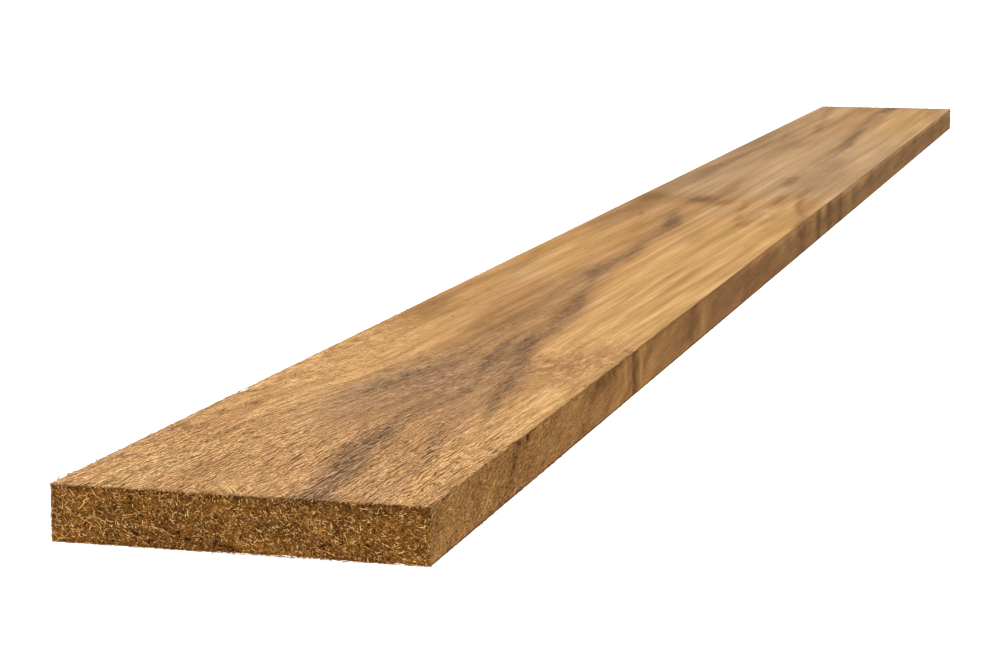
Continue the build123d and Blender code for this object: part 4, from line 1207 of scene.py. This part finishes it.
    # the long edges: cross bands, flecks and short slanting strokes
    slant_u = k.add(k.mul(ds, 0.80), k.mul(pz, 0.60))
    slant_v = k.sub(k.mul(pz, 0.80), k.mul(ds, 0.60))
    lean_u = k.add(k.mul(ds, 0.974), k.mul(pz, 0.225))
    lean_v = k.sub(k.mul(pz, 0.974), k.mul(ds, 0.225))
    stroke = k.noise(k.join(k.mul(lean_u, 1 / 2.7), k.mul(py, 0.02), k.mul(lean_v, 1 / 0.80)), 1.0, 0.6, 0.6)
    fleck = k.noise(k.scale(place, (1 / 2.6, 0.02, 1 / 0.80), (2.2, 0.4, 9.1)), 1.5, 0.65, 0.5)
    mottle = k.noise(k.join(k.mul(lean_u, 1 / 17), k.mul(py, 0.02), k.mul(lean_v, 1 / 4.6)), 2.0, 0.5, 0.3)
    broad = k.noise(k.join(k.mul(slant_u, 1 / 34), k.mul(py, 0.02), k.mul(slant_v, 1 / 9)), 2.0, 0.5)
    e = k.mix(k.remap(broad, 0.30, 0.70), edge(168, 120, 66), edge(144, 101, 54))
    e = k.mix(k.remap(gs, 235, 620, 0.0, 0.85), e, k.mix(k.remap(gs, 700, 1200), edge(126, 88, 50), edge(128, 94, 58)))
    far_side = k.remap(gs, 110, 360, 1.0, 0.20)
    e_shade = k.mul(k.swing(stroke, k.mul(far_side, 1.60)), k.swing(fleck, k.mul(far_side, 1.75)))
    e_shade = k.mul(e_shade, k.swing(mottle, k.remap(gs, 120, 300, 0.30, 0.95)))
    e_shade = k.mul(e_shade, k.mul(k.remap(pz, 3, 12, 1.04, 0.90), k.madd(k.remap(pz, 17.0, 21), k.remap(gs, 440, 900, 0.0, 0.85), 1.0)))
    e_shade = k.most(e_shade, 0.05)
    e = k.mix(1.0, e, k.join(k.math("POWER", e_shade, 0.9), e_shade, k.math("POWER", e_shade, 1.25)), "MULTIPLY")
    nick = k.sub(fleck, k.math("MULTIPLY", band, 0.13, clamp=True))
    e = k.mix(k.mul(k.remap(nick, 0.39, 0.30), k.mul(far_side, 0.75)), e, edge(84, 48, 16))
    e = k.mix(k.mul(k.remap(stroke, 0.36, 0.27), k.mul(far_side, 0.50)), e, edge(92, 54, 20))
    e = k.mix(k.mul(k.remap(stroke, 0.61, 0.72), k.mul(far_side, 0.50)), e, edge(206, 164, 104))
    # dark bands and patches; the patches under the broken top arris are painted shadow
    e = k.mix(k.math("MULTIPLY", band, k.remap(gs, 90, 260, 0.62, 0.88), clamp=True), e, edge(82, 48, 13))
    e = k.mix(k.math("MULTIPLY", band, -0.80, clamp=True), e, edge(198, 154, 92))
    # painted contact shadow along the bottom of the long edges, fainter between s 700 and 1300
    e = k.mix(k.mul(k.remap(pz, 1.9, 0.5, 0.0, 0.80), k.remap(gs, 700, 1300, 1.0, 0.20)), e, edge(72, 54, 38))
    col = k.mix(side, col, e)

    # the ends: torn brown end grain, its hollows darkened with painted shade
    cut_u = k.sub(k.mul(py, -0.79), k.mul(pz, 0.61))
    cut_v = k.add(k.mul(py, -0.61), k.mul(pz, 0.79))
    score = k.noise(k.join(k.mul(px, 0.02), k.mul(cut_u, 1 / 4.2), k.mul(cut_v, 1 / 0.9)), 2.0, 0.6, 0.5)
    clot = k.noise(k.scale(place, (0.02, 1 / 2.0, 1 / 1.6), (0.3, 4.2, 1.1)), 3.0, 0.65, 0.5)
    speck = k.noise(k.scale(place, (0.02, 1 / 0.7, 1 / 0.65), (0.3, 7.2, 5.1)), 2.0, 0.6, 0.4)
    wash = k.noise(k.scale(place, (0.02, 1 / 15, 1 / 7), (0.3, 1.2, 2.1)), 2.0, 0.5)
    b = k.mix(k.remap(wash, 0.36, 0.64), butt(142, 91, 37), butt(117, 74, 31))
    b_shade = k.mul(k.swing(score, 1.6), k.mul(k.swing(clot, 2.0), k.swing(speck, 2.4)))
    b = k.mix(1.0, b, k.grey(b_shade), "MULTIPLY")
    # painted shade where the end grain is hollow
    hollow_shade = k.remap(k.add(hollow, k.mul(k.sub(clot, 0.5), 2.4)), -0.42, -0.86)
    b = k.mix(k.mul(hollow_shade, 0.92), b, butt(52, 28, 8))
    b = k.mix(k.mul(k.remap(speck, 0.60, 0.72), 0.55), b, butt(206, 160, 96))
    # painted shadow under the top arris of the ends, its lower edge scalloped
    shadow_scallop = k.noise(k.scale(place, (0.02, 1 / 3.2, 0.03), (0.3, 6.2, 4.1)), 2.0, 0.6)
    b = k.mix(k.mul(k.remap(k.add(pz, k.remap(shadow_scallop, 0.40, 0.64, 0.0, 3.4)), 21.0, 22.4), 0.62), b, butt(62, 38, 16))
    # painted contact shadow along the bottom of the ends
    b = k.mix(k.remap(pz, 1.4, 0.3, 0.0, 0.45), b, butt(70, 46, 24))
    col = k.mix(end, col, b)

    if strands:
        tone, white, spare = k.split(k.attr("tone"))
        if strands == "end":
            col = k.mix(0.75, col, k.mix(k.remap(wash, 0.36, 0.64), butt(156, 106, 46), butt(138, 94, 44)))
        col = k.mix(1.0, col, k.grey(tone), "MULTIPLY")
        col = k.mix(white, col, k.mix(end, k.mix(side, top(232, 188, 130), edge(206, 164, 104)), butt(232, 190, 122)))

    bsdf = k.nt.nodes.new("ShaderNodeBsdfPrincipled")
    k.link(col, bsdf.inputs["Base Color"])
    k.link(k.remap(line, 0.3, 0.7, 0.80, 0.92, False), bsdf.inputs["Roughness"])
    bsdf.inputs["Specular IOR Level"].default_value = 0.08
    if not strands:
        # heights in millimetres
        wide = k.sub(1.0, k.most(side, end))
        flat = k.madd(k.sub(line, 0.5), 0.20, k.madd(k.sub(hair, 0.5), 0.30, k.mul(k.sub(grit, 0.5), 0.30)))
        flat = k.mul(k.add(flat, k.mul(crevice, -0.20)), close)
        flat = k.madd(k.mul(k.sub(fuzz, 0.5), 0.5), k.mul(frayed, close), flat)
        rough_side = k.madd(k.sub(stroke, 0.5), 1.0, k.mul(k.sub(fleck, 0.5), 0.9))
        rough_end = k.madd(k.sub(score, 0.5), 1.4, k.madd(k.sub(clot, 0.5), 1.6, k.mul(k.sub(speck, 0.5), 0.9)))
        height = k.add(k.mul(flat, wide), k.add(k.mul(k.mul(rough_side, k.remap(gs, 110, 360, 0.85, 0.25)), side), k.mul(rough_end, end)))
        bump = k.nt.nodes.new("ShaderNodeBump")
        bump.inputs["Strength"].default_value = 1.0
        bump.inputs["Distance"].default_value = 0.001
        k.link(height, bump.inputs["Height"])
        k.link(bump.outputs[0], bsdf.inputs["Normal"])
    k.link(bsdf.outputs[0], k.out.inputs["Surface"])
    return k.mat


# ---------------------------------------------------------------------------
# Where each part of the board's surface lies in a square picture, if one is painted of it.
# ---------------------------------------------------------------------------
def lay_flat(ob, polys, s, t, z, face):
    px = 1024.0
    loops = np.fromiter((i for p in polys for i in p), np.int64)
    sizes = np.fromiter((len(p) for p in polys), np.int64)
    start = np.concatenate([[0], np.cumsum(sizes)[:-1]])
    f = face[loops].astype(int)
    has = [np.maximum.reduceat((f == i).astype(int), start) for i in range(6)]
    chart = np.where(has[4] > 0, 4, np.where(has[5] > 0, 5, np.where(has[0] > 0, 0, np.where(has[2] > 0, 2, np.where(has[1] > 0, 1, 3)))))
    second = (np.maximum.reduceat(s[loops], start) > L / 2 + 0.01).astype(int)
    c, half = np.repeat(chart, sizes), np.repeat(second, sizes)
    S, TT, ZZ = s[loops], t[loops], z[loops]
    u = 4 + (S - half * L / 2) * 0.967
    # distance round the section from the start of each face
    arc = np.select([f == 0, f == 1, f == 2, f == 3], [TT, T - ZZ, W - TT, ZZ], 0.0)
    other = f != c
    arc = np.where(other & (c == 0), np.where(f == 1, W + 0.2, -0.2), arc)
    arc = np.where(other & (c == 2), np.where(f == 3, W + 0.2, -0.2), arc)
    rows, y = {}, 5.0
    for i, k in ((0, 1.5), (1, 1.5), (2, 1.0), (3, 1.5)):
        for part in (0, 1):
            rows[i, part] = (y, k)
            y += (W if i in (0, 2) else T) * k + 5.0
    v = np.zeros(len(u))
    for (i, part), (y0, k) in rows.items():
        v = np.where((c == i) & (half == part), y0 + arc * k, v)
    for i, x0 in ((4, 5.0), (5, 5.0 + W * 3 + 8)):
        v = np.where(c == i, y + 1 + ZZ * 3.0, v)
        u = np.where(c == i, x0 + (TT if i == 4 else W - TT) * 3.0, u)
    uv = ob.data.uv_layers.new(name="OFBake")
    uv.data.foreach_set("uv", np.stack([u / px, v / px], -1).astype(np.float32).ravel())
    print("LAYOUT rows used", y + 1 + T * 3, "of", px)


# ---------------------------------------------------------------------------
# Camera and stage
# ---------------------------------------------------------------------------
def make_camera():
    yaw, pitch, roll = math.radians(-14.607), math.radians(8.905), math.radians(0.203)
    d = Vector((math.cos(yaw) * math.cos(pitch), -math.sin(yaw) * math.cos(pitch), -math.sin(pitch)))
    r = Vector((-math.sin(yaw), -math.cos(yaw), 0))
    u = r.cross(d)
    r2 = math.cos(roll) * r + math.sin(roll) * u
    u2 = -math.sin(roll) * r + math.cos(roll) * u
    cam = bpy.data.cameras.new("camera")
    cam.sensor_fit, cam.sensor_width = "HORIZONTAL", 36.0
    cam.lens = 2596.3 * 36.0 / 1000
    cam.clip_start, cam.clip_end = 0.05, 100
    ob = bpy.data.objects.new("camera", cam)
    bpy.context.scene.collection.objects.link(ob)
    place = Vector((-5.9052 * 0.145 - 1.05, 0.0725 - 2.7090 * 0.145, 1.5403 * 0.145))
    m = Matrix((r2, u2, -d)).transposed().to_4x4()
    m.translation = place
    ob.matrix_world = m
    bpy.context.scene.camera = ob


def make_stage():
    me = bpy.data.meshes.new("studio_floor")
    e = 30.0
    me.from_pydata([(-e, -e, 0), (e, -e, 0), (e, e, 0), (-e, e, 0)], [], [(0, 1, 2, 3)])
    floor = bpy.data.objects.new("studio_floor", me)
    floor.location.z = -0.0004
    bpy.context.scene.collection.objects.link(floor)
    k = Nodes("studio_floor")
    b = k.nt.nodes.new("ShaderNodeBsdfPrincipled")
    n = k.noise(k.nt.nodes.new("ShaderNodeTexCoord").outputs["Object"], 2.0, 0.5, 0.0, 3.0)
    k.link(k.mix(n, (0.20, 0.20, 0.20), (0.22, 0.22, 0.22)), b.inputs["Base Color"])
    b.inputs["Roughness"].default_value = 0.9
    b.inputs["Specular IOR Level"].default_value = 0.1
    b.inputs["Emission Color"].default_value = (1, 1, 1, 1)
    b.inputs["Emission Strength"].default_value = 0.95
    k.link(b.outputs[0], k.out.inputs["Surface"])
    me.materials.append(k.mat)

    world = bpy.data.worlds.new("studio")
    bpy.context.scene.world = world
    world.use_nodes = True
    bg = world.node_tree.nodes.get("Background") or world.node_tree.nodes.new("ShaderNodeBackground")
    bg.inputs[0].default_value = (1, 1, 1, 1)
    bg.inputs[1].default_value = 0.16

    for name, way, energy, angle in (("key", (-0.2, 0.6, 1.0), 3.55, 30), ("fill", (-0.7, -1.0, 0.55), 0.75, 50)):
        sun = bpy.data.lights.new(name, "SUN")
        sun.energy = energy
        sun.angle = math.radians(angle)
        ob = bpy.data.objects.new(name, sun)
        bpy.context.scene.collection.objects.link(ob)
        ob.rotation_euler = Vector(way).to_track_quat("Z", "Y").to_euler()

    view = bpy.context.scene.view_settings
    view.view_transform = "Standard"
    view.look = "None"
    view.exposure, view.gamma = 0.0, 1.0
    # a crisp pixel filter, as the photograph is sharp
    bpy.context.scene.cycles.filter_width = 1.0


# ---------------------------------------------------------------------------
make_camera()
make_stage()
co, polys, place = build_plank()
sizes = np.fromiter((len(p) for p in polys), np.int64)
flat = np.fromiter((i for p in polys for i in p), np.int64)
plank = new_object("sawn_plank", co, sizes, flat)
for key, values in attributes(*place):
    set_attribute(plank.data, key, values)
lay_flat(plank, polys, *place[:4])
plank.data.materials.append(timber("sawn_timber"))
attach(plank, "root")
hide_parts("plank")

fibre = timber("sawn_timber_fibres", strands="face")
end_fibre = timber("sawn_timber_end_fibres", strands="end")
end_fuzz("end_fibres_near", True, 10500, 301, end_fibre)
end_fuzz("end_fibres_far", False, 6200, 302, end_fibre)
raised_grain("raised_grain_top", 0, ((0.8, 120, 9500, 1.0, 0.22), (120, 330, 3200, 1.0, 0.10), (330, 900, 600, 1.3, 0.04), (900, L - 1, 700, 1.6, 0.04)), 311, fibre)
raised_grain("raised_grain_underside", 2, ((0.8, L - 1, 7000, 1.6, 0.12),), 312, fibre)
raised_grain("raised_grain_edge_right", 1, ((0.8, 200, 3400, 1.0, 0.22), (200, 420, 600, 1.1, 0.08), (420, L - 1, 500, 1.2, 0.04)), 313, fibre)
raised_grain("raised_grain_edge_left", 3, ((0.8, 200, 2200, 1.0, 0.20), (200, 420, 500, 1.1, 0.08), (420, L - 1, 500, 1.2, 0.04)), 314, fibre)
arris_splinters("arris_splinters", 321, fibre)
